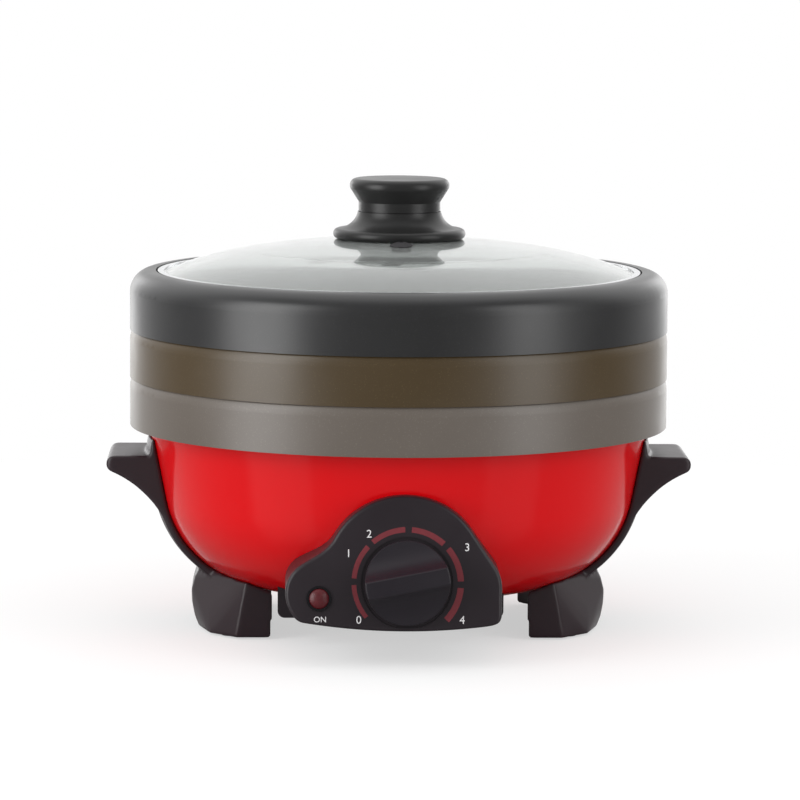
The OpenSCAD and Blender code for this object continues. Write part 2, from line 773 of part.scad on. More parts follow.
module thermostat() {
    color("#c9c4b8") on_panel() difference() {
        union() {
            translate([-16, -14, -18]) cube([32, 25, 12]);
            translate([-17, -8, -6.2]) cube([34, 16, 6.2 - panel_floor]);
            translate([0, 0, -8]) cylinder(r = bush_r, h = 8.4);
        }
        translate([0, 0, -12]) cylinder(r = shaft_r + run_fit, h = 20);
        for (u = [-stat_screw_at, stat_screw_at]) {
            translate([u, 0, -14]) cylinder(r = stat_screw_r + screw_fit / 2, h = 20);
        }
    }
}

module thermostat_screws() {
    color("#9da0a4") on_panel() for (u = [-stat_screw_at, stat_screw_at]) {
        translate([u, 0, -recess_d]) rotate([180, 0, 0]) pan_screw(2.8, 1.6, stat_screw_r, 11);
    }
}

// Copper sensor bulb under the heating plate, with its tube to the thermostat.
module sensor_tube() {
    color("#b4733c") {
        translate([tube_x, -bulb_front, bulb_z]) rotate([-90, 0, 0])
            cylinder(r = bulb_r, h = bulb_front + bulb_back);
        translate([tube_x, -bulb_front, bulb_z]) sphere(bulb_r);
        translate([tube_x, bulb_back, bulb_z]) sphere(bulb_r);
        translate([tube_x, -tube_end, bulb_z]) rotate([-90, 0, 0])
            cylinder(r = 1, h = tube_end - bulb_front - 2);
        translate([tube_x, -tube_end, bulb_z]) sphere(1);
        translate([tube_x, -tube_end, bulb_z]) rotate([atan2(-6.6, -3.4) + 90, 0, 0]) cylinder(r = 1, h = 7);
    }
}

module sensor_clip() {
    color("#8f9296") for (y = clip_y) {
        translate([tube_x, y, bulb_z]) rotate([-90, 0, 0]) difference() {
            union() {
                cylinder(r = bulb_r + 0.9, h = clip_w);
                translate([-9, -bulb_r - 0.2, 0]) cube([18, 0.9, clip_w]);
            }
            translate([0, 0, -1]) cylinder(r = bulb_r + screw_fit, h = clip_w + 2);
            translate([-12, -bulb_r - 10.2, -1]) cube([24, 10, clip_w + 2]);
        }
    }
}

module thermal_fuse() {
    color("#d9d4c4") translate([-14, -fuse_y, plate_z - plate_t - 2.4]) rotate([-90, 0, 0]) {
        cylinder(r = 2.2, h = 26);
        translate([0, 0, -8]) cylinder(r = 0.6, h = 42);
    }
}

// Ceramic terminal block on the floor of the panel's rim.
module terminal_block() {
    color("#d8cfae") translate([dial_x - 30, -block_y, dial_z - panel_foot + panel_t + fit]) difference() {
        cube([27, 13, 11]);
        for (i = [0 : 2]) {
            translate([4.5 + i * 9, 6.5, 5]) cylinder(r = 2, h = 10);
            translate([4.5 + i * 9, -5, 5]) rotate([-90, 0, 0]) cylinder(r = 1.6, h = 30);
        }
    }
}

module lamp_bezel() {
    color("#1f1d20") on_panel() translate([lamp_u, lamp_v, 0]) difference() {
        union() {
            translate([0, 0, -7]) cylinder(r = lens_r + bezel_t, h = 7.5);
            cylinder(r = lens_r + bezel_t + 0.7, h = 0.8);
        }
        translate([0, 0, -10]) cylinder(r = lens_r + screw_fit, h = 20);
    }
}

module lamp_lens() {
    color("#7a2a32") on_panel() translate([lamp_u, lamp_v, 0]) difference() {
        union() {
            translate([0, 0, -9]) cylinder(r = lens_r, h = 9);
            intersection() {
                translate([0, 0, -5]) sphere(7.6);
                translate([0, 0, -1]) cylinder(r = lens_r, h = 10);
            }
        }
        translate([0, 0, -10]) cylinder(r = lens_r - 1.6, h = 10.6);
    }
}

module neon_lamp() {
    color("#e8c9a8") on_panel() translate([lamp_u, lamp_v, -9]) {
        cylinder(r = 2.6, h = 6);
        translate([0, 0, 6]) sphere(2.6);
        for (u = [-1, 1]) {
            translate([u, 0, -4]) cylinder(r = 0.4, h = 4.5);
        }
        difference() {
            translate([0, 0, 0.4]) cylinder(r = lens_r - 1.7, h = 1.6);
            translate([0, 0, 0]) cylinder(r = 2.5, h = 3);
        }
    }
}

// Rubber bush where the supply cord goes in, at the back of the bowl, with a lip inside the shell and a
// bore that is wider at its inner end.
module cord_gland() {
    lip_r = gland_neck_r + 1.6;
    color("#1f1d20") difference() {
        union() {
            difference() {
                on_back() translate([0, 0, -2]) cylinder(r1 = 10, r2 = 8, h = gland_out + 2);
                bowl_body(-fit, 100);
            }
            on_back() translate([0, 0, -gland_in]) {
                cylinder(r = gland_neck_r, h = gland_in + 2);
                cylinder(r = lip_r, h = gland_in - shell_t - 0.6);
            }
        }
        on_back() translate([0, 0, -30]) cylinder(r = gland_bore_r, h = 60);
        on_back() translate([0, 0, -30]) cylinder(r = gland_relief_r, h = 30 + gland_relief);
    }
}

// Round dial with a hollow on either side of its grip bar, and a pointer groove at one end.
module control_dial() {
    color("#28262a") on_panel() rotate([0, 0, dial_rest]) difference() {
        union() {
            translate([0, 0, dial_gap]) cylinder(r = dial_r, h = dial_h - dial_gap - dial_chamfer);
            translate([0, 0, dial_h - dial_chamfer])
                cylinder(r1 = dial_r, r2 = dial_r - dial_chamfer, h = dial_chamfer);
        }
        for (side = [-1, 1]) {
            translate([-40, side * hollow_at, dial_h + hollow_up]) rotate([0, 90, 0])
                cylinder(r = hollow_r, h = 80);
        }
        difference() {
            translate([0, 0, 0]) cylinder(r = dial_r - 4, h = 4.4);
            translate([0, 0, -1]) cylinder(r = shaft_r + 3, h = 8);
        }
        translate([0, 0, -1]) cylinder(r = shaft_r + screw_fit / 2, h = 13);
        translate([14, -0.8, dial_h - 0.7]) cube([12, 1.6, 2]);
    }
}

module dial_shaft() {
    color("#a3a6aa") on_panel() translate([0, 0, -11]) cylinder(r = shaft_r, h = 22.8);
}

module dial_hub_ring() {
    color("#8f9296") on_panel() translate([0, 0, 2.8])
        rotate_extrude() translate([shaft_r + 3.7, 0]) circle(0.6);
}

module lid_glass() {
    color("#c3c9c8") translate([0, 0, lid_z]) difference() {
        rotate_extrude() {
            translate([0, knob_z - crown_r])
                ring_sector(crown_r, crown_r - glass_t, 90 - crown_a - lap_a, 90);
            translate([0, knob_z - crown_r] + (crown_r - edge_arc_r) * [sin(crown_a), cos(crown_a)])
                ring_sector(edge_arc_r, edge_arc_r - glass_t, 90 - edge_a, 90 - crown_a);
            translate([glass_edge_r - 1.6, glass_z])
                square([lid_r - lid_rim_t - 0.2 - glass_edge_r + 1.6, glass_t]);
        }
        translate([0, 0, knob_z - 10]) cylinder(r = knob_screw_r + 1.4, h = 20);
        on_vent() translate([0, 0, -10]) cylinder(r = vent_neck_r + fit, h = 20);
    }
}

// Local Z leads straight out of the glass at the steam vent.
module on_vent() {
    translate([0, -vent_r, knob_z - glass_drop(vent_r)]) rotate([asin(vent_r / crown_r), 0, 0]) children();
}

module lid_rim() {
    h = glass_edge_z + 0.05 + lid_rim_t;
    color("#d7d9db") translate([0, 0, lid_z]) rotate_extrude() {
        translate([lid_r - 4.8, 0]) square([4.8, lid_rim_t]);
        translate([lid_r - lid_rim_t, 0]) square([lid_rim_t, h]);
        translate([lid_r - 3.7, h - lid_rim_t]) square([3.7, lid_rim_t]);
    }
}

module steam_vent() {
    color("#4a474b") translate([0, 0, lid_z]) on_vent() difference() {
        union() {
            intersection() {
                translate([0, 0, 0.1]) cylinder(r = 6.4, h = 2.4);
                translate([0, 0, -9]) sphere(11.6);
            }
            translate([0, 0, -glass_t - 1.6]) cylinder(r = vent_neck_r, h = glass_t + 2.4);
            translate([0, 0, -glass_t - 1.8]) cylinder(r = 5.6, h = 1.6);
        }
        translate([0, 0, -10]) cylinder(r = 1.6, h = 20);
    }
}

module knob_gasket() {
    color("#6b6a6c") translate([0, 0, lid_z + knob_z]) difference() {
        cylinder(r = 13, h = 1.2);
        translate([0, 0, -1]) cylinder(r = knob_screw_r + 2 * screw_fit, h = 4);
    }
}

module knob_foot() {
    top = knob_split;
    edge = 2.93;
    low = -0.9;
    curve = 12.3;
    color("#1b1a1c") translate([0, 0, lid_z + knob_z]) difference() {
        rotate_extrude() difference() {
            union() {
                translate([0, low]) square([knob_foot_r - edge, 2 * edge]);
                translate([knob_foot_r - edge, low + edge]) circle(edge);
                translate([0, low + edge]) square([knob_neck_r + curve, top - low - edge]);
            }
            translate([knob_neck_r + 0.2 + curve, low + 2 * edge + curve]) circle(curve);
            translate([knob_neck_r + 0.2 + curve, low + 2 * edge]) square([20, 20]);
            translate([14, low - 1]) square([knob_foot_r - edge - 17, 4.5]);
            translate([0, low - 1]) square([15, 1 - low + 1.2]);
        }
        cylinder(r = knob_screw_r + 2 * screw_fit, h = 40);
    }
}

module knob_cap() {
    low = knob_split;
    edge = 4;
    color("#1b1a1c") translate([0, 0, lid_z + knob_z]) difference() {
        rotate_extrude() {
            translate([0, low]) square([knob_neck_r - 0.9, 1]);
            translate([0, low + 0.6]) square([knob_neck_r, 5.2]);
            polygon([[0, low + 5.6], [knob_neck_r, low + 5.6], [knob_top_r - 0.9, knob_h - 6.6],
                [knob_top_r - edge, knob_h - edge], [0, knob_h - edge]]);
            translate([knob_top_r - edge, knob_h - edge]) circle(edge);
            translate([0, knob_h - 8]) square([knob_top_r - edge, 8]);
        }
        translate([0, 0, low - 1]) cylinder(r = knob_screw_r + screw_fit / 2, h = 11);
    }
}

module knob_washer() {
    color("#b5b8bb") translate([0, 0, lid_z + knob_z - glass_t - 1.4]) difference() {
        cylinder(r = 9, h = 1.2);
        translate([0, 0, -1]) cylinder(r = knob_screw_r + 2 * screw_fit, h = 4);
    }
}

module knob_screw() {
    color("#b5b8bb") translate([0, 0, lid_z + knob_z - glass_t - 1.4])
        pan_screw(4.8, 2.6, knob_screw_r, glass_t + 1.4 + knob_split + 9);
}

translate([0, axis_y, 0]) {
    outer_shell();
    heat_shield();
    heating_plate();
    heating_element();
    plate_spacers();
    plate_screws();
    bottom_cover();
    bottom_cover_screws();
    left_handle_leg();
    right_handle_leg();
    leg_screws();
    foot_pads();
    control_panel();
    panel_bracket();
    bracket_screws();
    panel_screws();
    thermostat();
    thermostat_screws();
    sensor_tube();
    sensor_clip();
    thermal_fuse();
    terminal_block();
    lamp_bezel();
    lamp_lens();
    neon_lamp();
    cord_gland();
    control_dial();
    dial_shaft();
    dial_hub_ring();
    deep_pot();
    middle_pot();
    shallow_pot();
    lid_glass();
    lid_rim();
    steam_vent();
    knob_gasket();
    knob_foot();
    knob_cap();
    knob_washer();
    knob_screw();
}
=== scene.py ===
"""Looks of a countertop multicooker, laid out as an add-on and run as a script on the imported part."""

import json
import math

import bpy
import numpy as np
from bpy.props import FloatProperty, FloatVectorProperty, IntProperty, PointerProperty
from mathutils import Matrix, Vector


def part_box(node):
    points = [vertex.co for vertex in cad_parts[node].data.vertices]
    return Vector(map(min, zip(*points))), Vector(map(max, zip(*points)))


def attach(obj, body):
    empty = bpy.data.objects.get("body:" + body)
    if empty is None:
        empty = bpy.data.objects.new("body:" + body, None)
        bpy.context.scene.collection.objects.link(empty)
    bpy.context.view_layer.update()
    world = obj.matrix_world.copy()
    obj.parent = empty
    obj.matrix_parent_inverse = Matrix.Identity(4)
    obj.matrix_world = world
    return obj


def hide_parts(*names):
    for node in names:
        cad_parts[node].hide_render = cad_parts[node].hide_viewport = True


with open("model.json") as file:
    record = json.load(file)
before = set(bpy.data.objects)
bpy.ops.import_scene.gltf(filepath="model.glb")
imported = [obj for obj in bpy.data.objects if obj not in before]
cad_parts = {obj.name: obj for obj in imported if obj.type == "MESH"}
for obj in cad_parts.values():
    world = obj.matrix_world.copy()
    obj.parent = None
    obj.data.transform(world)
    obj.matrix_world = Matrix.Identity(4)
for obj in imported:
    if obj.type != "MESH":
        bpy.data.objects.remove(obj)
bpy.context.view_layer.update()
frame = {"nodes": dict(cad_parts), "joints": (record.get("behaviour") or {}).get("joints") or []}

bl_info = {
    "name": "Multicooker Looks",
    "version": (1, 0, 0),
    "blender": (4, 5, 0),
    "location": "View3D > Sidebar > Multicooker",
    "description": "Dresses the packed multicooker: finishes, printed scale, soft edges and a plain stage",
    "category": "Object",
}

MM = 0.001
NODES = frame["nodes"]
POT_LOW, POT_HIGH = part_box("shallow_pot")
AXIS_Y = (POT_LOW.y + POT_HIGH.y) / 2
DIAL_JOINT = next(j for j in frame["joints"] if j["name"] == "dial_turn")
DIAL_AT = tuple(DIAL_JOINT["pos_m"])
LEAN = math.asin(DIAL_JOINT["axis"][2])
# Points closer than this are one.
SAME_POINT = 0.002 * MM

# The control panel, seen from the front about the dial: the circles that its outline runs round, the lamp's
# lobe, the hollow round beside the lobe, the wide circle along the foot, and the soft corners there. Then how
# far it reaches at most, the depth of the dial's recess and of the panel's inside, and its rim's least depth.
PANEL_CENTRES = np.array([[-1.0, 3.0], [32.4, -2.7], [44.4, -17.0], [-44.0, -17.0]]) * MM
PANEL_SIDE_R, PANEL_FOOT_R = 20 * MM, 8 * MM
LOBE_AT = (-48.4 * MM, -6.0 * MM)
LOBE_HOLLOW = 13 * MM
LOW_ARC_Z, LOW_ARC_R = 335.4 * MM, 362 * MM
LOW_CORNER = 2 * MM
PANEL_REACH = 90 * MM
RECESS_D = 0.8 * MM
PANEL_INSIDE = 3.4 * MM
LEAST_RIM = 6 * MM
# The bowl's outside, from its flat floor to its cone, and the front of the rail under it.
BOWL_FLAT_R, BOWL_ARC_R, BOWL_FLOOR_Z, BOWL_FLARE = 76.4986 * MM, 62 * MM, 25 * MM, math.radians(10.9)
RAIL_FRONT = 84.15 * MM
# The dial: centre of the hollows beside the ridge and over its top, softness of the ridge, and its back.
HOLLOW_ASIDE, HOLLOW_OVER = 27 * MM, 9 * MM
RIDGE_SOFT = 2.2 * MM
DIAL_WALL_R, DIAL_HUB_R, DIAL_BORE_R = 19.4 * MM, 6.0 * MM, 3.03 * MM
DIAL_BACK, DIAL_INSIDE, DIAL_BORE_END = 1.4 * MM, 4.4 * MM, 12 * MM
# The scale, in degrees: where it starts, each arc's length and pitch, and how many there are.
ARC_START, ARC_LONG, ARC_PITCH, ARCS = 220, 38, 45, 6
ARC_WIDE = (2.5 * MM, 3.6 * MM)
# How deep the ink reaches into the panel.
INK_ROOT = 0.03 * MM
# The numbers and the word under the lamp: how far each is from the dial's centre, to the right and up the
# face in millimetres, and its share of the type size.
SCALE_WORDS = (("0", -26.5, -20.4, 1.0), ("1", -32.2, 16.2, 1.0), ("2", -20.9, 26.9, 1.0),
               ("3", 33.1, 19.6, 1.0), ("4", 30.4, -20.4, 1.0), ("ON", -47.8, -20.2, 0.72))

# How fine the surfaces are: points round the panel, the dial and the table, and along one arc.
PANEL_POINTS, DIAL_POINTS, TABLE_POINTS, ARC_POINTS = 480, 400, 96, 40
# Rows over the panel's face and over the dial's, which start at a share of its radius, and over their rounds.
PANEL_ROWS, DIAL_ROWS, DIAL_FIRST = 5, 64, 0.02
PANEL_BEND, DIAL_BEND = 9, 7
# Directions that the panel's hull is measured in, and how often the span to its outline is halved.
HULL_WAYS, HALVINGS = 360, 36
# Edges over this angle stay sharp.
SHARP = math.radians(35)
# The parts of a noise's span from 0 to 1 in which most of it lies, and nearly all of it.
MOST, NEARLY_ALL = (0.3, 0.7), (0.2, 0.8)

# The stage, in metres: the table's rings, how far it lies under the pads, its greys for the eye and in a
# gloss, and the light that it adds.
WHITE = (1, 1, 1, 1)
TABLE_RINGS = np.array([0.05, 0.2, 0.4, 0.75])
TABLE_DROP = 0.2 * MM
TABLE_SEEN, TABLE_MIRRORED = "#acacac", "#868686"
TABLE_FILL = 0.55
# The way to the studio's bright wall, the reach along it over which the wall brightens, and how bright it is
# at either end of that.
WALL_WAY, WALL_REACH, WALL_LIGHT = (0, 0.85, 0.5), (0.1, 0.8), (0.12, 1.1)
# Each softbox: the setting that holds its brightness, where it stands, its width and its height.
SOFTBOXES = {
    "left_softbox": ("left_box", (-1.45, -0.85, 0.42), 0.95, 1.9),
    "right_softbox": ("right_box", (1.36, -0.98, 0.42), 0.8, 1.9),
    "top_softbox": ("top_box", (0.0, -0.35, 1.6), 1.4, 1.0),
    "left_rim_softbox": ("rim_box", (-0.8, 1.7, 0.3), 0.5, 0.9),
    "right_rim_softbox": ("rim_box", (0.8, 1.7, 0.3), 0.5, 0.9),
}
# The height that the softboxes point at.
LAMP_AIM_Z = 0.13
# The camera's sensor in millimetres, and the nearest and farthest that it sees in metres.
SENSOR_W, CLIP = 36, (0.05, 50)


def linear(code):
    """A colour's sRGB hex value, as linear red, green, blue and an alpha of 1."""
    part = [int(code[i:i + 2], 16) / 255 for i in (1, 3, 5)]
    return tuple(c / 12.92 if c <= 0.04045 else ((c + 0.055) / 1.055) ** 2.4 for c in part) + (1.0,)


def per_mm(size):
    """A texture scale, in features to the metre, for features of a size in millimetres."""
    return 1000.0 / size


class CookerSizes(bpy.types.PropertyGroup):
    """Sizes of the pieces that are worked out here, in the part's own frame."""

    panel_edge: FloatProperty(
        name="Panel edge", description="Radius that rounds the control panel's front edge",
        default=2.3 * MM, min=0.2 * MM, max=4 * MM, unit="LENGTH", precision=4)
    panel_wall: FloatProperty(
        name="Panel wall", description="Thickness of the control panel's rim",
        default=2.6 * MM, min=1 * MM, max=5 * MM, unit="LENGTH", precision=4)
    dome_r: FloatProperty(
        name="Dome radius", description="Radius of the control panel's dome over the dial",
        default=44.5 * MM, min=40 * MM, max=50 * MM, unit="LENGTH", precision=4)
    lobe_r: FloatProperty(
        name="Lamp lobe radius", description="Radius of the control panel's lobe around the pilot lamp",
        default=18.6 * MM, min=12 * MM, max=24 * MM, unit="LENGTH", precision=4)
    recess_r: FloatProperty(
        name="Dial recess radius", description="Radius of the shallow recess under the dial",
        default=25.3 * MM, min=20 * MM, max=30 * MM, unit="LENGTH", precision=4)
    arc_r: FloatProperty(
        name="Scale radius", description="Inner radius of the printed arcs around the dial",
        default=27.9 * MM, min=25 * MM, max=34 * MM, unit="LENGTH", precision=4)
    ink_t: FloatProperty(
        name="Ink thickness", description="How far the printed ink stands off the panel",
        default=0.06 * MM, min=0.01 * MM, max=0.2 * MM, unit="LENGTH", precision=5)
    number_h: FloatProperty(
        name="Number size", description="Type size of the numbers on the scale",
        default=6.2 * MM, min=3 * MM, max=9 * MM, unit="LENGTH", precision=4)
    skin_cell: FloatProperty(
        name="Skin cell", description="Size of the even cells in the side mouldings' skin",
        default=0.9 * MM, min=0.7 * MM, max=3 * MM, unit="LENGTH", precision=4)
    skin_passes: IntProperty(
        name="Skin passes", description="How often the side mouldings' skin is evened out to round its edges",
        default=10, min=1, max=60)
    dial_edge: FloatProperty(
        name="Dial edge", description="Radius that rounds the rim of the dial",
        default=0.9 * MM, min=0.1 * MM, max=2 * MM, unit="LENGTH", precision=4)
    dial_r: FloatProperty(
        name="Dial radius", description="Radius of the dial",
        default=23.4 * MM, min=18 * MM, max=24 * MM, unit="LENGTH", precision=4)
    dial_h: FloatProperty(
        name="Dial height", description="Height of the dial's ridge over the panel's face",
        default=20 * MM, min=14 * MM, max=26 * MM, unit="LENGTH", precision=4)
    hollow_r: FloatProperty(
        name="Dial hollow radius", description="Radius of the hollow on either side of the dial's ridge",
        default=24 * MM, min=20 * MM, max=30 * MM, unit="LENGTH", precision=4)
    dial_rest: FloatProperty(
        name="Dial at rest", description="Turn of the dial's ridge from level at rest",
        default=math.radians(11), subtype="ANGLE")


def colour(name, description, code):
    """A colour property whose default is an sRGB hex value."""
    return FloatVectorProperty(name=name, description=description, subtype="COLOR", size=4, min=0, max=1,
                               default=linear(code))


class CookerColours(bpy.types.PropertyGroup):
    """Colours of the finishes that show."""

    enamel: colour("Enamel", "Red enamel of the bowl", "#d60910")
    coat_grey: colour("Grey coat", "Non-stick coat of the deep pot", "#605850")
    coat_brown: colour("Brown coat", "Non-stick coat of the middle pot", "#443417")
    coat_black: colour("Black coat", "Non-stick coat of the shallow pot", "#212122")
    handle: colour("Handles", "Moulded side handles and feet", "#2d2126")
    panel: colour("Panel", "Moulded control panel", "#282126")
    dial: colour("Dial", "Moulded dial", "#221d24")
    knob: colour("Knob", "Moulded lid knob", "#232323")
    ink_arc: colour("Scale ink", "Printed arcs around the dial", "#74212b")
    ink_number: colour("Number ink", "Printed numbers", "#dedcdd")
    lens: colour("Lens", "Pilot lamp's lens", "#5c1019")


class CookerStage(bpy.types.PropertyGroup):
    """Where the camera stands and how bright the studio is."""

    distance: FloatProperty(
        name="Camera distance", description="From the camera to the pots' axis",
        default=2.5, min=0.5, max=10, unit="LENGTH")
    azimuth: FloatProperty(
        name="Camera azimuth", description="Turn of the camera to the right of the front",
        default=math.radians(-1.5), subtype="ANGLE")
    elevation: FloatProperty(
        name="Camera elevation", description="Height of the camera above the horizon",
        default=math.radians(6.8), subtype="ANGLE")
    roll: FloatProperty(
        name="Camera roll", description="Turn of the camera about its own line of sight",
        default=math.radians(0.35), subtype="ANGLE")
    aim_x: FloatProperty(
        name="Aim aside", description="How far beside the pots' axis the middle of the picture is",
        default=0.0010, min=-0.1, max=0.1, unit="LENGTH", precision=4)
    aim_z: FloatProperty(
        name="Aim height", description="Height on the pots' axis that is in the middle of the picture",
        default=0.1306, min=0, max=0.3, unit="LENGTH")
    lens: FloatProperty(
        name="Focal length", description="On a 36 mm sensor",
        default=193, min=20, max=400, unit="CAMERA")
    ambient: FloatProperty(
        name="Ambient", description="Brightness of the studio's walls as a light",
        default=1.0, min=0, max=2)
    left_box: FloatProperty(
        name="Left softbox", description="Brightness of the softbox on the left, where white paper is 1",
        default=3.3, min=0, max=10)
    right_box: FloatProperty(
        name="Right softbox", description="Brightness of the softbox on the right, where white paper is 1",
        default=1.9, min=0, max=10)
    top_box: FloatProperty(
        name="Top softbox", description="Brightness of the softbox overhead, where white paper is 1",
        default=0.25, min=0, max=10)
    rim_box: FloatProperty(
        name="Rim softboxes", description="Brightness of the softboxes behind, where white paper is 1",
        default=1.8, min=0, max=10)


def add(tree, kind, inputs=None, **settings):
    """Adds a node. The settings are its own, and each input is a value or the socket that it is linked to."""
    made = tree.nodes.new(kind)
    for key, value in settings.items():
        setattr(made, key, value)
    for key, value in (inputs or {}).items():
        if isinstance(value, bpy.types.NodeSocket):
            tree.links.new(value, made.inputs[key])
        else:
            made.inputs[key].default_value = value
    return made


def surface(name, **sockets):
    """Starts a material with one Principled shader: gives it, its tree, the shader and the object's space."""
    made = bpy.data.materials.new(name)
    made.use_nodes = True
    tree = made.node_tree
    tree.nodes.clear()
    shader = add(tree, "ShaderNodeBsdfPrincipled", {k.replace("_", " "): v for k, v in sockets.items()})
    add(tree, "ShaderNodeOutputMaterial", {"Surface": shader.outputs[0]})
    at = add(tree, "ShaderNodeTexCoord").outputs["Object"]
    return made, tree, shader, at


def shade(tone, share):
    """A linear colour made darker or lighter by a share of itself."""
    return tuple(min(1.0, c * share) for c in tone[:3]) + (1.0,)


def noise(tree, at, size, detail):
    """A noise from 0 to 1 with features of a size in millimetres."""
    return add(tree, "ShaderNodeTexNoise", {"Vector": at, "Scale": per_mm(size), "Detail": detail}).outputs[0]


def blend(tree, share, first, second):
    """The colour between two that a share picks."""
    return add(tree, "ShaderNodeMix", {0: share, 6: first, 7: second}, data_type="RGBA").outputs[2]


def span(tree, value, source, target, **settings):
    """A value that runs over the source span, carried to the target span."""
    limits = dict(enumerate((value, *source, *target)))
    return add(tree, "ShaderNodeMapRange", limits, **settings).outputs[0]


def maths(tree, operation, *values):
    """One step of arithmetic on values or sockets."""
    return add(tree, "ShaderNodeMath", dict(enumerate(values)), operation=operation).outputs[0]


def from_axis(tree, at):
    """Distance from the pots' axis, and height."""
    centred = add(tree, "ShaderNodeMapping", {"Vector": at, "Location": (0, -AXIS_Y, 0)}).outputs[0]
    flat = add(tree, "ShaderNodeVectorMath", {0: centred, 1: (1, 1, 0)}, operation="MULTIPLY")
    reach = add(tree, "ShaderNodeVectorMath", {0: flat.outputs[0]}, operation="LENGTH")
    return reach.outputs[1], add(tree, "ShaderNodeSeparateXYZ", {0: centred}).outputs[2]


def wire(tree, shader, tone, gloss, height=None, strength=0.0, depth=0.0):
    """Links a shader's colour and roughness, and a bump of a height, with its depth in millimetres."""
    tree.links.new(tone, shader.inputs["Base Color"])
    tree.links.new(gloss, shader.inputs["Roughness"])
    if height is not None:
        bump = add(tree, "ShaderNodeBump", {"Strength": strength, "Distance": depth * MM, "Height": height})
        tree.links.new(bump.outputs[0], shader.inputs["Normal"])


def moulded(name, tone, grain, roughness, relief):
    """A moulded plastic or rubber: fine spark-eroded grain of the mould in millimetres, faint flow marks in
    tone and gloss about 30 mm long, and relief as the bump's depth in millimetres."""
    made, tree, shader, at = surface(name, IOR=1.5)
    marks = {"Vector": at, "Scale": per_mm(30), "Detail": 3.0, "Roughness": 0.55}
    flow = add(tree, "ShaderNodeTexNoise", marks).outputs[0]
    wire(tree, shader, blend(tree, flow, shade(tone, 0.88), shade(tone, 1.12)),
         span(tree, flow, MOST, (roughness * 0.9, roughness * 1.1)),
         noise(tree, at, size=grain, detail=2.0), strength=0.5, depth=relief)
    return made


def bare_metal(name, light, dark, roughness, grain, lay="cast"):
    """A bare metal. A turned one has rings about the pots' axis with a spacing of grain, in millimetres. A
    spangled one has crystals of that size, and a cast or drawn one has blotches of it."""
    made, tree, shader, at = surface(name, Metallic=1.0)
    if lay == "turned":
        line = add(tree, "ShaderNodeCombineXYZ", dict(enumerate(from_axis(tree, at))))
        marks = noise(tree, line.outputs[0], size=grain, detail=3.0)
    elif lay == "spangled":
        marks = add(tree, "ShaderNodeTexVoronoi", {"Vector": at, "Scale": per_mm(grain)}).outputs[0]
    else:
        marks = noise(tree, at, size=grain, detail=4.0)
    wire(tree, shader, blend(tree, marks, linear(dark), linear(light)),
         span(tree, marks, NEARLY_ALL, (roughness * 0.8, roughness * 1.25)), marks, strength=0.25, depth=0.02)
    return made


def nonstick_coat(name, tone, fleck):
    """Sprayed and stoved non-stick coat, filled with mineral, on spun aluminium: satin, with pale specks
    about 0.8 mm wide that only just show, an even spray texture, and turned rings under it on the floors."""
    made, tree, shader, at = surface(name, IOR=1.7)
    fleck_on = span(tree, noise(tree, at, size=0.8, detail=1.0), (0.62, 0.76), (0.0, 0.12))
    cloud = noise(tree, at, size=45, detail=3.0)
    body = blend(tree, cloud, shade(tone, 0.93), shade(tone, 1.07))
    ring_gap = 1.8
    turn = maths(tree, "MULTIPLY", from_axis(tree, at)[0], 2 * math.pi * per_mm(ring_gap))
    normal = add(tree, "ShaderNodeNewGeometry").outputs["True Normal"]
    facing = add(tree, "ShaderNodeSeparateXYZ", {0: normal})
    on_floor = span(tree, facing.outputs[2], (0.93, 0.98), (0.0, 1.0))
    ringed = maths(tree, "MULTIPLY", maths(tree, "SINE", turn), on_floor)
    height = maths(tree, "MULTIPLY_ADD", ringed, 1.2, noise(tree, at, size=0.7, detail=2.0))
    wire(tree, shader, blend(tree, fleck_on, body, linear(fleck)), span(tree, cloud, MOST, (0.33, 0.39)),
         height, strength=0.35, depth=0.03)
    return made


def stoved_enamel(name, tone):
    """Gloss enamel, sprayed and stoved on pressed steel: a deep even red that mirrors the studio, and a
    slight orange-peel about 3 mm wide that ripples the highlights."""
    made, tree, shader, at = surface(name, IOR=1.42)
    cloud = noise(tree, at, size=60, detail=3.0)
    wire(tree, shader, blend(tree, cloud, shade(tone, 0.95), shade(tone, 1.05)),
         span(tree, cloud, MOST, (0.11, 0.15)),
         noise(tree, at, size=3.0, detail=1.0), strength=0.12, depth=0.03)
    return made


def clear_glass(name, tint, ior, wave, haze):
    """Pressed and tempered glass: nearly clear, with a trace of colour, a pale haze, and a slow ripple of the
    tempering, wave millimetres long, that bends what shows in it."""
    made, tree, shader, at = surface(name, IOR=ior, Transmission_Weight=1.0 - haze)
    ripple = noise(tree, at, size=wave, detail=1.0)
    wire(tree, shader, blend(tree, ripple, shade(linear(tint), 0.98), linear(tint)),
         span(tree, ripple, NEARLY_ALL, (0.015, 0.035)), ripple, strength=0.1, depth=0.05)
    return made


def moulded_lens(name, tone):
    """Translucent red polycarbonate: satin outside, uneven in depth over about 1.5 mm and dull when unlit."""
    made, tree, shader, at = surface(name, IOR=1.58, Transmission_Weight=0.12)
    grain = noise(tree, at, size=1.5, detail=2.0)
    wire(tree, shader, blend(tree, grain, shade(tone, 0.8), shade(tone, 1.2)),
         span(tree, grain, MOST, (0.36, 0.44)))
    return made


def fired_ceramic(name, body, speck):
    """Pressed and fired steatite: chalky, with small darker specks about 1 mm wide."""
    made, tree, shader, at = surface(name, IOR=1.6)
    spots = noise(tree, at, size=1.0, detail=2.0)
    speck_on = span(tree, spots, (0.6, 0.72), (0.0, 0.6))
    wire(tree, shader, blend(tree, speck_on, linear(body), linear(speck)),
         span(tree, spots, MOST, (0.5, 0.65)), spots, strength=0.3, depth=0.04)
    return made


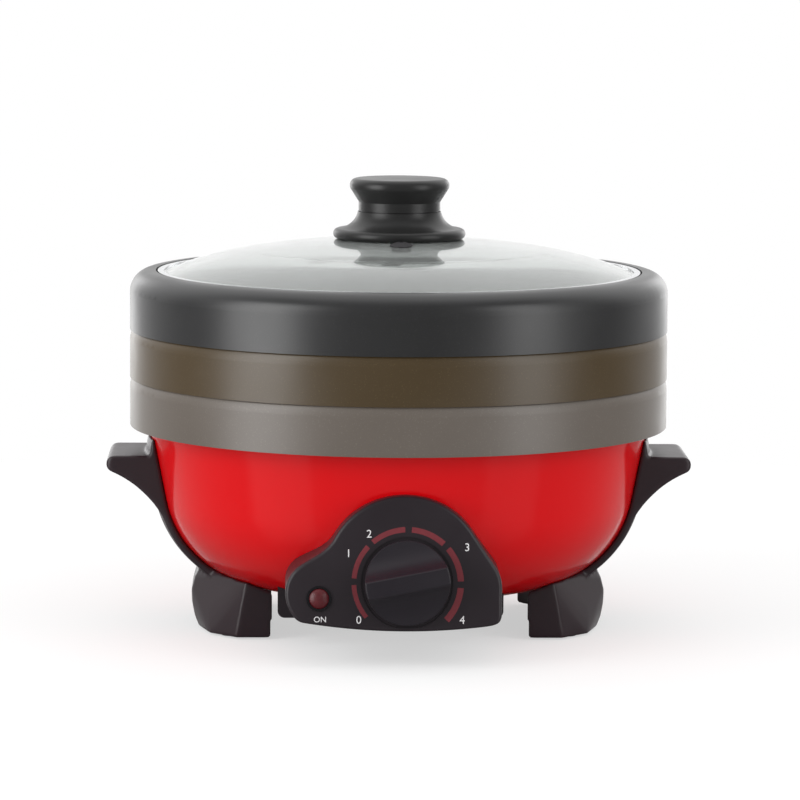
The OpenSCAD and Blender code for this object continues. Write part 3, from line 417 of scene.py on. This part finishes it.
def printed_ink(name, tone):
    """Pad-printed ink: matt, slightly uneven in cover over about 2 mm."""
    made, tree, shader, at = surface(name, IOR=1.5)
    cover = noise(tree, at, size=2.0, detail=3.0)
    wire(tree, shader, blend(tree, cover, shade(tone, 0.85), shade(tone, 1.12)),
         span(tree, cover, MOST, (0.5, 0.62)))
    return made


def dress(material, *names):
    """Gives CAD nodes a finish."""
    for name in names:
        mesh = NODES[name].data
        mesh.materials.clear()
        mesh.materials.append(material)


def soften(name, cell, passes):
    """Rounds a CAD node's edges: its skin is made anew in even cells of a size, and evened out in passes."""
    node = NODES[name]
    join = node.modifiers.new("join", "WELD")
    join.merge_threshold = SAME_POINT
    skin = node.modifiers.new("even_skin", "REMESH")
    skin.mode = "VOXEL"
    skin.voxel_size = cell
    skin.use_smooth_shade = True
    even = node.modifiers.new("soft_edge", "SMOOTH")
    even.factor = 0.5
    even.iterations = passes


def around(count):
    """Angles of a number of points that stand evenly round a circle."""
    return np.linspace(0, 2 * np.pi, count, endpoint=False)


def grid_faces(rows, columns):
    """Quads of a grid whose columns close on themselves, as an array of four corners each."""
    r, c = np.meshgrid(np.arange(rows - 1), np.arange(columns), indexing="ij")
    n = (c + 1) % columns
    here, next_row = r * columns, (r + 1) * columns
    return np.stack([here + c, here + n, next_row + n, next_row + c], axis=-1).reshape(-1, 4)


def capped(rows, columns):
    """Faces of a closed grid whose first and last rows run to one point each, held after the grid's own."""
    step = np.arange(columns)
    after = (step + 1) % columns
    last = (rows - 1) * columns
    front = np.stack([step, after, np.full(columns, rows * columns)], axis=-1)
    rear = np.stack([last + after, last + step, np.full(columns, rows * columns + 1)], axis=-1)
    return grid_faces(rows, columns)[:, ::-1].tolist() + front.tolist() + rear.tolist()


def new_piece(name, points, faces, body, material):
    """Makes an object of points and faces, smooth but for edges over an angle, that rides on a CAD body."""
    mesh = bpy.data.meshes.new(name)
    mesh.from_pydata(points.tolist(), [], faces)
    mesh.update()
    mesh.shade_smooth()
    mesh.set_sharp_from_angle(angle=SHARP)
    mesh.materials.append(material)
    made = bpy.data.objects.new(name, mesh)
    bpy.context.scene.collection.objects.link(made)
    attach(made, body)
    return made


def on_face(u, v, w):
    """Points by the leaning panel face, from the dial's centre: u to the right, v up the face, w out."""
    x = DIAL_AT[0] + u
    y = DIAL_AT[1] + v * math.sin(LEAN) - w * math.cos(LEAN)
    z = DIAL_AT[2] + v * math.cos(LEAN) + w * math.sin(LEAN)
    return np.stack(np.broadcast_arrays(x, y, z), axis=-1)


def panel_field(x, z, sizes):
    """Signed distance to the control panel's outline, seen from the front.

    The hull of four circles is the largest, over all directions, of the point's reach less the hull's own.
    A disc around the lamp joins it with a hollow round, and a wide circle cuts the foot with soft corners.
    """
    radii = np.array([sizes.dome_r, PANEL_SIDE_R, PANEL_FOOT_R, PANEL_FOOT_R])
    turn = around(HULL_WAYS)
    way = np.stack([np.cos(turn), np.sin(turn)])
    support = (PANEL_CENTRES @ way + radii[:, None]).max(axis=0)
    hull = (x[..., None] * way[0] + z[..., None] * way[1] - support).max(axis=-1)
    lobe = np.hypot(x - LOBE_AT[0], z - LOBE_AT[1]) - sizes.lobe_r
    near = np.maximum(LOBE_HOLLOW - np.stack([hull, lobe]), 0)
    joined = np.maximum(LOBE_HOLLOW, np.minimum(hull, lobe)) - np.hypot(near[0], near[1])
    foot = np.hypot(x, z - LOW_ARC_Z) - LOW_ARC_R
    over = np.maximum(LOW_CORNER + np.stack([joined, foot]), 0)
    return np.minimum(-LOW_CORNER, np.maximum(joined, foot)) + np.hypot(over[0], over[1])


def panel_ring(turn, inset, sizes):
    """The outline drawn in by inset, as x and z at each angle about the dial, found by halving a span."""
    low, high = np.zeros_like(turn), np.full_like(turn, PANEL_REACH)
    for _ in range(HALVINGS):
        middle = (low + high) / 2
        inside = panel_field(middle * np.cos(turn), middle * np.sin(turn), sizes) < -inset
        low, high = np.where(inside, middle, low), np.where(inside, high, middle)
    return low * np.cos(turn), low * np.sin(turn)


def bowl_front(x, z):
    """Where the bowl's front is along y, at x and z: a round from a flat floor and then a cone."""
    turn_z = BOWL_FLOOR_Z + BOWL_ARC_R - BOWL_ARC_R * math.sin(BOWL_FLARE)
    drop = np.clip(BOWL_FLOOR_Z + BOWL_ARC_R - z, 0, BOWL_ARC_R)
    reach = np.where(z < turn_z, BOWL_FLAT_R + np.sqrt(BOWL_ARC_R ** 2 - drop ** 2),
                     BOWL_FLAT_R + BOWL_ARC_R * math.cos(BOWL_FLARE) + (z - turn_z) * math.tan(BOWL_FLARE))
    return AXIS_Y - np.maximum(np.sqrt(np.maximum(reach ** 2 - x ** 2, 0)), RAIL_FRONT)


def panel_surface(sizes):
    """The control panel's cap, row by row from the middle of its face to the middle of its inside.

    Each row is the outline at one inset and one depth behind the leaning face. The recess and the face come
    first, then a quarter round, the rim back to the bowl, and the inside of the wall.
    """
    turn = around(PANEL_POINTS)
    edge, wall = sizes.panel_edge, sizes.panel_wall

    def placed(x, z, depth):
        return np.stack([DIAL_AT[0] + x, DIAL_AT[1] + z * math.tan(LEAN) + depth, DIAL_AT[2] + z], axis=-1)

    def row(inset, depth):
        return placed(*panel_ring(turn, inset, sizes), depth)

    inner = panel_ring(turn, edge, sizes)
    angle = np.arctan2(inner[1], inner[0])
    round_x, round_z = sizes.recess_r * np.cos(angle), sizes.recess_r * np.sin(angle) * math.cos(LEAN)
    share = np.linspace(0, 1, PANEL_ROWS)[:, None]
    face = placed((1 - share) * round_x + share * inner[0], (1 - share) * round_z + share * inner[1], 0.0)
    bend = np.linspace(0, np.pi / 2, PANEL_BEND)[1:]
    rounding = [row(edge * (1 - math.sin(a)), edge * (1 - math.cos(a))) for a in bend]
    back = []
    for inset in (0.0, wall):
        x, z = panel_ring(turn, inset, sizes)
        p = placed(x, z, 0.0)
        p[:, 1] = np.maximum(bowl_front(p[:, 0], p[:, 2]), p[:, 1] + LEAST_RIM)
        back.append(p)
    rows = [placed(round_x, round_z, RECESS_D), *face, *rounding, *back, row(wall, PANEL_INSIDE)]
    middle = [placed(np.zeros(1), np.zeros(1), depth) for depth in (RECESS_D, PANEL_INSIDE)]
    points = np.concatenate(rows + middle)
    return points, capped(len(rows), len(turn))


def dial_surface(sizes):
    """The dial, row by row from the middle of its face to the middle of its bore, round the dial's own axis.

    The face's height is the lesser, with a soft change-over, of a flat top and of a hollow round on either
    side of the ridge. The rim is a quarter round. A wall, a hollow back and a hub with a blind bore follow.
    """
    turn = around(DIAL_POINTS)
    edge = sizes.dial_edge

    def height(r):
        aside = np.maximum(HOLLOW_ASIDE - np.abs(r * np.sin(turn)), 0)
        inside = sizes.hollow_r ** 2 - aside ** 2
        hollow = np.where(inside > 0, sizes.dial_h + HOLLOW_OVER - np.sqrt(np.maximum(inside, 0)), np.inf)
        near = np.maximum(1 - np.abs(hollow - sizes.dial_h) / RIDGE_SOFT, 0)
        return np.minimum(hollow, sizes.dial_h) - RIDGE_SOFT / 4 * near ** 2

    def row(r, w):
        angle = turn + sizes.dial_rest
        return on_face(r * np.cos(angle), r * np.sin(angle), w)

    last = sizes.dial_r - edge
    face = [row(r, height(r)) for r in last * np.linspace(DIAL_FIRST, 1, DIAL_ROWS)]
    rim = [row(last + edge * math.sin(a), height(last) - edge * (1 - math.cos(a)))
           for a in np.linspace(0, np.pi / 2, DIAL_BEND)[1:]]
    behind = ((sizes.dial_r, DIAL_BACK), (DIAL_WALL_R, DIAL_BACK), (DIAL_WALL_R, DIAL_INSIDE),
              (DIAL_HUB_R, DIAL_INSIDE), (DIAL_HUB_R, DIAL_BACK), (DIAL_BORE_R, DIAL_BACK),
              (DIAL_BORE_R, DIAL_BORE_END))
    rows = face + rim + [row(r, w) for r, w in behind]
    middle = [on_face(np.zeros(1), np.zeros(1), np.array([w])) for w in (sizes.dial_h, DIAL_BORE_END)]
    points = np.concatenate(rows + middle)
    return points, capped(len(rows), len(turn))


def scale_arcs(sizes):
    """Six printed arcs round the dial, each a closed ribbon of four lines carried along its angle.

    They follow each other clockwise. The outer line moves out evenly, so the ribbon widens along the scale.
    """
    step = np.linspace(0, ARC_LONG, ARC_POINTS)
    start = ARC_START - ARC_PITCH * np.arange(ARCS)
    degrees = start[:, None] - step[None, :]
    angle = np.radians(degrees)
    whole = ARC_PITCH * (ARCS - 1) + ARC_LONG
    wide = ARC_WIDE[0] + (ARC_WIDE[1] - ARC_WIDE[0]) * (ARC_START - degrees) / whole
    inner = np.full_like(angle, sizes.arc_r)
    outer = inner + wide
    low, high = -INK_ROOT, sizes.ink_t
    lines = np.stack([on_face(r * np.cos(angle), r * np.sin(angle), w)
                      for r, w in ((inner, low), (inner, high), (outer, high), (outer, low))], axis=2)
    arcs, along = angle.shape
    points = lines.reshape(-1, 3)
    ribbon = grid_faces(along, 4)
    offset = np.arange(arcs) * along * 4
    quads = (ribbon[None, :, :] + offset[:, None, None]).reshape(-1, 4)
    ends = np.concatenate([np.array([[0, 1, 2, 3]]) + offset[:, None],
                           np.array([[3, 2, 1, 0]]) + offset[:, None] + (along - 1) * 4])
    return points, np.concatenate([quads, ends])[:, ::-1].tolist()


def type_mesh(text, size, depth):
    """A word or number set flat, centred on the origin, as points and faces."""
    curve = bpy.data.curves.new("type", "FONT")
    curve.body = text
    curve.size = size
    curve.extrude = depth
    curve.align_x = "CENTER"
    curve.align_y = "CENTER"
    curve.resolution_u = 4
    carrier = bpy.data.objects.new("type", curve)
    bpy.context.scene.collection.objects.link(carrier)
    mesh = bpy.data.meshes.new_from_object(carrier.evaluated_get(bpy.context.evaluated_depsgraph_get()))
    points = np.empty(len(mesh.vertices) * 3, np.float32)
    mesh.vertices.foreach_get("co", points)
    faces = [list(p.vertices) for p in mesh.polygons]
    bpy.data.objects.remove(carrier)
    bpy.data.curves.remove(curve)
    bpy.data.meshes.remove(mesh)
    return points.reshape(-1, 3).astype(float), faces


def printed_type(words, sizes):
    """Words and numbers laid on the panel's face, each at its own u and v, as one set of points and faces."""
    points, faces, count = [], [], 0
    for text, u, v, share in words:
        flat, own = type_mesh(text, sizes.number_h * share, sizes.ink_t / 2 + INK_ROOT / 2)
        points.append(on_face(flat[:, 0] + u * MM, flat[:, 1] + v * MM, flat[:, 2] + sizes.ink_t / 2))
        faces += [[i + count for i in f] for f in own]
        count += len(flat)
    return np.concatenate(points), faces


class COOKER_OT_heater_base(bpy.types.Operator):
    """Finishes the bowl, the shield inside it, the heating plate and what is fixed under them"""

    bl_idname = "cooker.heater_base"
    bl_label = "Heater base"

    def execute(self, context):
        tones = context.scene.cooker_colours
        dress(stoved_enamel("stoved_red_enamel", tones.enamel[:]), "outer_shell")
        # Aluminised sheet: grey, with crystals that catch the light one by one.
        dress(bare_metal("aluminised_steel_sheet", "#b4b5b6", "#8b8d90", roughness=0.38, grain=5.0,
                         lay="spangled"), "heat_shield")
        # Cast aluminium, faced on a lathe: fine bright rings.
        dress(bare_metal("turned_cast_aluminium", "#c3c4c5", "#96989b", roughness=0.34, grain=1.2,
                         lay="turned"), "heating_plate")
        # Steel sheath after its first heating: brown and straw-coloured blotches.
        dress(bare_metal("heat_tinted_steel_sheath", "#8d7a64", "#4f4a48", roughness=0.42, grain=9.0),
              "heating_element")
        # Zinc plate: pale grey, slightly cloudy.
        dress(bare_metal("zinc_plated_steel", "#bfc2c6", "#94989d", roughness=0.3, grain=1.5),
              "plate_spacers", "plate_screws", "bottom_cover_screws", "leg_screws")
        # Powder coat: satin black with a soft pebble about 1.2 mm wide.
        dress(moulded("black_powder_coat", linear("#1d1c1e"), grain=1.2, roughness=0.45, relief=0.05),
              "bottom_cover")
        return {"FINISHED"}


class COOKER_OT_side_mouldings(bpy.types.Operator):
    """Finishes the two handles with their straps and feet, and the rubber pads under them"""

    bl_idname = "cooker.side_mouldings"
    bl_label = "Handles and feet"

    def execute(self, context):
        tones, sizes = context.scene.cooker_colours, context.scene.cooker_sizes
        # Phenolic moulding: satin black with a fine even grain.
        legs = ("left_handle_leg", "right_handle_leg")
        dress(moulded("moulded_phenolic", tones.handle[:], grain=0.8, roughness=0.4, relief=0.03), *legs)
        # Rubber: dull, nearly black, with a coarser grain.
        dress(moulded("moulded_rubber", linear("#161516"), grain=0.9, roughness=0.78, relief=0.08),
              "foot_pads")
        for name in legs:
            soften(name, sizes.skin_cell, sizes.skin_passes)
        return {"FINISHED"}


class COOKER_OT_control_panel(bpy.types.Operator):
    """Builds the rounded control panel and finishes the rail behind it"""

    bl_idname = "cooker.control_panel"
    bl_label = "Control panel"

    def execute(self, context):
        tones, sizes = context.scene.cooker_colours, context.scene.cooker_sizes
        # Satin thermoplastic polyester: charcoal, with the mould's fine grain.
        plastic = moulded("moulded_polyester", tones.panel[:], grain=0.6, roughness=0.36, relief=0.03)
        points, faces = panel_surface(sizes)
        panel = new_piece("panel_cap", points, faces, "base", plastic)
        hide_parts("control_panel")
        dress(plastic, "panel_bracket")
        # Zinc plate again: pale grey, slightly cloudy.
        dress(bare_metal("zinc_plated_panel_screw", "#bfc2c6", "#94989d", roughness=0.3, grain=1.5),
              "bracket_screws", "panel_screws")
        return {"FINISHED"}


class COOKER_OT_scale_print(bpy.types.Operator):
    """Prints the arcs and plain numbers of the scale round the dial"""

    bl_idname = "cooker.scale_print"
    bl_label = "Printed scale"

    def execute(self, context):
        tones, sizes = context.scene.cooker_colours, context.scene.cooker_sizes
        points, faces = scale_arcs(sizes)
        new_piece("scale_arcs", points, faces, "base",
                  printed_ink("printed_red_ink", tones.ink_arc[:]))
        points, faces = printed_type(SCALE_WORDS, sizes)
        new_piece("scale_numbers", points, faces, "base",
                  printed_ink("printed_pale_ink", tones.ink_number[:]))
        return {"FINISHED"}


class COOKER_OT_dial(bpy.types.Operator):
    """Builds the rounded dial and finishes the shaft that it sits on"""

    bl_idname = "cooker.dial"
    bl_label = "Dial"

    def execute(self, context):
        tones, sizes = context.scene.cooker_colours, context.scene.cooker_sizes
        # Moulded phenolic, smooth mould: darker than the panel, and its hollows take the light softly.
        points, faces = dial_surface(sizes)
        dial = new_piece("dial_cap", points, faces, "dial",
                         moulded("satin_dial_phenolic", tones.dial[:], grain=0.7, roughness=0.4, relief=0.01))
        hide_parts("control_dial")
        # Ground steel: bright and fine-grained.
        dress(bare_metal("ground_steel_shaft", "#c0c2c5", "#9b9da0", roughness=0.25, grain=0.8),
              "dial_shaft", "dial_hub_ring")
        return {"FINISHED"}


class COOKER_OT_pilot_lamp(bpy.types.Operator):
    """Finishes the pilot lamp's ring, lens and neon bulb"""

    bl_idname = "cooker.pilot_lamp"
    bl_label = "Pilot lamp"

    def execute(self, context):
        tones = context.scene.cooker_colours
        # Nylon from a polished mould: a thin gloss line round the lens.
        dress(moulded("gloss_black_nylon", linear("#141316"), grain=0.8, roughness=0.22, relief=0.01),
              "lamp_bezel")
        dress(moulded_lens("translucent_polycarbonate", tones.lens[:]), "lamp_lens")
        # Blown glass: clear, with a straw tint that shows through the lens.
        dress(clear_glass("blown_soda_glass", "#f4e6d4", ior=1.51, wave=8.0, haze=0.02), "neon_lamp")
        return {"FINISHED"}


class COOKER_OT_inner_works(bpy.types.Operator):
    """Finishes the thermostat, its sensor, the fuse, the terminals and the cord's bush"""

    bl_idname = "cooker.inner_works"
    bl_label = "Inner works"

    def execute(self, context):
        dress(fired_ceramic("pressed_steatite", "#cbc5b4", "#8d8675"), "thermostat", "terminal_block")
        # The fuse's sleeve: paler than the rest of the ceramic.
        dress(fired_ceramic("glazed_fuse_ceramic", "#dcd6c6", "#a39b88"), "thermal_fuse")
        # Drawn copper, a little tarnished: orange with brown clouds.
        dress(bare_metal("drawn_copper", "#c9825a", "#8a4f30", roughness=0.3, grain=12.0), "sensor_tube")
        # Spring strip: mid-grey, with a soft sheen.
        dress(bare_metal("spring_steel_strip", "#a9abae", "#7d8084", roughness=0.33, grain=2.0),
              "sensor_clip", "thermostat_screws")
        # Rubber: dull and black, as under the feet.
        dress(moulded("moulded_cord_bush_rubber", linear("#19181a"), grain=0.9, roughness=0.7, relief=0.08),
              "cord_gland")
        return {"FINISHED"}


class COOKER_OT_pots(bpy.types.Operator):
    """Finishes the three nested pots with their non-stick coats"""

    bl_idname = "cooker.pots"
    bl_label = "Pots"

    def execute(self, context):
        tones = context.scene.cooker_colours
        dress(nonstick_coat("grey_nonstick_coat", tones.coat_grey[:], "#b5aea4"), "deep_pot")
        dress(nonstick_coat("brown_nonstick_coat", tones.coat_brown[:], "#97835e"), "middle_pot")
        dress(nonstick_coat("black_nonstick_coat", tones.coat_black[:], "#5d5d5f"), "shallow_pot")
        return {"FINISHED"}


class COOKER_OT_lid(bpy.types.Operator):
    """Finishes the glass lid with its steel rim, its vent and its seal"""

    bl_idname = "cooker.lid"
    bl_label = "Glass lid"

    def execute(self, context):
        # Tempered glass: a trace of green, and enough haze to show its dome.
        dress(clear_glass("tempered_soda_glass", "#f3f7f5", ior=1.52, wave=55.0, haze=0.14), "lid_glass")
        # Rolled stainless band: bright, with fine lines along its length.
        dress(bare_metal("polished_stainless_band", "#d9dadb", "#b3b5b8", roughness=0.16, grain=0.35,
                         lay="turned"), "lid_rim")
        # Silicone: soft and matt, dark at the vent and grey at the seal.
        dress(moulded("moulded_vent_silicone", linear("#2b292c"), grain=0.9, roughness=0.6, relief=0.04),
              "steam_vent")
        dress(moulded("cut_silicone_sheet", linear("#6a696c"), grain=0.9, roughness=0.65, relief=0.04),
              "knob_gasket")
        return {"FINISHED"}


class COOKER_OT_knob(bpy.types.Operator):
    """Finishes the lid's knob, its washer and its screw"""

    bl_idname = "cooker.knob"
    bl_label = "Lid knob"

    def execute(self, context):
        tones = context.scene.cooker_colours
        # Phenolic from a brushed mould: black, with a broad soft highlight.
        dress(moulded("satin_phenolic", tones.knob[:], grain=0.7, roughness=0.36, relief=0.03),
              "knob_foot", "knob_cap")
        # Stamped steel: light grey, a little cloudy.
        dress(bare_metal("stamped_steel_washer", "#b9bbbe", "#8f9296", roughness=0.3, grain=2.0),
              "knob_washer", "knob_screw")
        return {"FINISHED"}


def make_table(scene):
    """A round pale table just under the pads, as rings of points about the pots' axis."""
    turn = around(TABLE_POINTS)
    x = np.multiply.outer(TABLE_RINGS, np.cos(turn))
    y = np.multiply.outer(TABLE_RINGS, np.sin(turn)) + AXIS_Y
    points = np.stack([x, y, np.full_like(x, -TABLE_DROP)], axis=-1).reshape(-1, 3)
    faces = grid_faces(len(TABLE_RINGS), len(turn))[:, ::-1].tolist() + [list(range(len(turn)))]
    mesh = bpy.data.meshes.new("table")
    mesh.from_pydata(points.tolist(), [], faces)
    mesh.update()
    mesh.materials.append(pale_table("matt_pale_table"))
    table = bpy.data.objects.new("table", mesh)
    scene.collection.objects.link(table)


def pale_table(name):
    """Matt pale table: its own light fills it up to white for the eye, and the shadow still shows on it.

    In the enamel it shows as a darker satin acrylic, which mirrors the softboxes at a flat angle.
    """
    made = bpy.data.materials.new(name)
    made.use_nodes = True
    tree = made.node_tree
    tree.nodes.clear()
    path = add(tree, "ShaderNodeLightPath")
    mirrored = path.outputs["Is Glossy Ray"]
    seen = maths(tree, "MAXIMUM", path.outputs["Is Camera Ray"], path.outputs["Is Transmission Ray"])
    pale = blend(tree, mirrored, linear(TABLE_SEEN), linear(TABLE_MIRRORED))
    paper = add(tree, "ShaderNodeBsdfDiffuse", {"Color": pale})
    fill = maths(tree, "MULTIPLY", seen, TABLE_FILL)
    glow = add(tree, "ShaderNodeEmission", {"Color": WHITE, "Strength": fill})
    both = add(tree, "ShaderNodeAddShader", {0: paper.outputs[0], 1: glow.outputs[0]})
    edge_on = add(tree, "ShaderNodeFresnel", {"IOR": 1.55})
    share = maths(tree, "MULTIPLY", mirrored, edge_on.outputs[0])
    satin = add(tree, "ShaderNodeBsdfAnisotropic", {"Color": WHITE, "Roughness": 0.18})
    top = add(tree, "ShaderNodeMixShader", {0: share, 1: both.outputs[0], 2: satin.outputs[0]})
    add(tree, "ShaderNodeOutputMaterial", {"Surface": top.outputs[0]})
    return made


def make_studio(scene, ambient):
    """The studio's walls: white for the eye, even as a light, and in a gloss darker towards the camera."""
    world = bpy.data.worlds.new("studio")
    world.use_nodes = True
    scene.world = world
    tree = world.node_tree
    tree.nodes.clear()
    path = add(tree, "ShaderNodeLightPath")
    way = add(tree, "ShaderNodeTexCoord").outputs["Generated"]
    behind = add(tree, "ShaderNodeVectorMath", {0: way, 1: WALL_WAY}, operation="DOT_PRODUCT")
    wall = span(tree, behind.outputs[1], WALL_REACH, WALL_LIGHT, interpolation_type="SMOOTHSTEP")
    mirrored = maths(tree, "MAXIMUM", path.outputs["Is Glossy Ray"], path.outputs["Is Transmission Ray"])
    other = add(tree, "ShaderNodeMix", {0: mirrored, 2: ambient, 3: wall})
    shown = add(tree, "ShaderNodeMix", {0: path.outputs["Is Camera Ray"], 2: other.outputs[0], 3: 1.0})
    back = add(tree, "ShaderNodeBackground", {"Color": WHITE, "Strength": shown.outputs[0]})
    add(tree, "ShaderNodeOutputWorld", {"Surface": back.outputs[0]})


def softbox(scene, name, brightness, at, width, height):
    """A flat lamp, turned to the part, that shows with a brightness, where white paper is 1."""
    lamp = bpy.data.lights.new(name, "AREA")
    lamp.shape = "RECTANGLE"
    lamp.size, lamp.size_y = width, height
    lamp.energy = brightness * math.pi * width * height
    made = bpy.data.objects.new(name, lamp)
    made.location = at
    way = Vector((0, AXIS_Y, LAMP_AIM_Z)) - Vector(at)
    made.rotation_euler = way.to_track_quat("-Z", "Y").to_euler()
    scene.collection.objects.link(made)


def place_camera(scene, plan):
    """A camera at an azimuth, elevation and distance from a point near the pots' axis, rolled a little."""
    flat = math.cos(plan.elevation)
    back = Vector((math.sin(plan.azimuth) * flat, -math.cos(plan.azimuth) * flat, math.sin(plan.elevation)))
    lens = bpy.data.cameras.new("camera")
    lens.lens, lens.sensor_width = plan.lens, SENSOR_W
    lens.clip_start, lens.clip_end = CLIP
    camera = bpy.data.objects.new("camera", lens)
    place = Matrix.Translation(Vector((plan.aim_x, AXIS_Y, plan.aim_z)) + back * plan.distance)
    turn = (-back).to_track_quat("-Z", "Y").to_matrix().to_4x4()
    camera.matrix_world = place @ turn @ Matrix.Rotation(plan.roll, 4, "Z")
    scene.collection.objects.link(camera)
    scene.camera = camera


class COOKER_OT_stage(bpy.types.Operator):
    """Makes the pale table, the studio's light and the camera"""

    bl_idname = "cooker.stage"
    bl_label = "Stage"

    def execute(self, context):
        scene, plan = context.scene, context.scene.cooker_stage
        make_table(scene)
        make_studio(scene, plan.ambient)
        for name, (setting, at, width, height) in SOFTBOXES.items():
            softbox(scene, name, getattr(plan, setting), at, width, height)
        place_camera(scene, plan)
        scene.view_settings.view_transform = "Standard"
        return {"FINISHED"}


STEPS = (COOKER_OT_heater_base, COOKER_OT_side_mouldings, COOKER_OT_control_panel, COOKER_OT_scale_print,
         COOKER_OT_dial, COOKER_OT_pilot_lamp, COOKER_OT_inner_works, COOKER_OT_pots, COOKER_OT_lid,
         COOKER_OT_knob, COOKER_OT_stage)


class VIEW3D_PT_cooker(bpy.types.Panel):
    """Lists the pieces of the multicooker, in the order in which they are made"""

    bl_label = "Multicooker"
    bl_idname = "VIEW3D_PT_cooker"
    bl_space_type = "VIEW_3D"
    bl_region_type = "UI"
    bl_category = "Multicooker"

    def draw(self, context):
        column = self.layout.column()
        for step in STEPS:
            column.operator(step.bl_idname)
        for group in (context.scene.cooker_sizes, context.scene.cooker_colours, context.scene.cooker_stage):
            for key in group.__annotations__:
                column.prop(group, key)


GROUPS = {"cooker_sizes": CookerSizes, "cooker_colours": CookerColours, "cooker_stage": CookerStage}


def register():
    """Registers the classes, and hangs their properties on the scene."""
    for kind in (*GROUPS.values(), *STEPS, VIEW3D_PT_cooker):
        bpy.utils.register_class(kind)
    for name, kind in GROUPS.items():
        setattr(bpy.types.Scene, name, PointerProperty(type=kind))


def unregister():
    """Takes away what register() made."""
    for name in GROUPS:
        delattr(bpy.types.Scene, name)
    for kind in reversed((*GROUPS.values(), *STEPS, VIEW3D_PT_cooker)):
        bpy.utils.unregister_class(kind)


def main():
    """Makes every piece in order."""
    register()
    bpy.ops.cooker.heater_base()
    bpy.ops.cooker.side_mouldings()
    bpy.ops.cooker.control_panel()
    bpy.ops.cooker.scale_print()
    bpy.ops.cooker.dial()
    bpy.ops.cooker.pilot_lamp()
    bpy.ops.cooker.inner_works()
    bpy.ops.cooker.pots()
    bpy.ops.cooker.lid()
    bpy.ops.cooker.knob()
    bpy.ops.cooker.stage()
    bpy.context.view_layer.update()


if __name__ == "__main__":
    main()
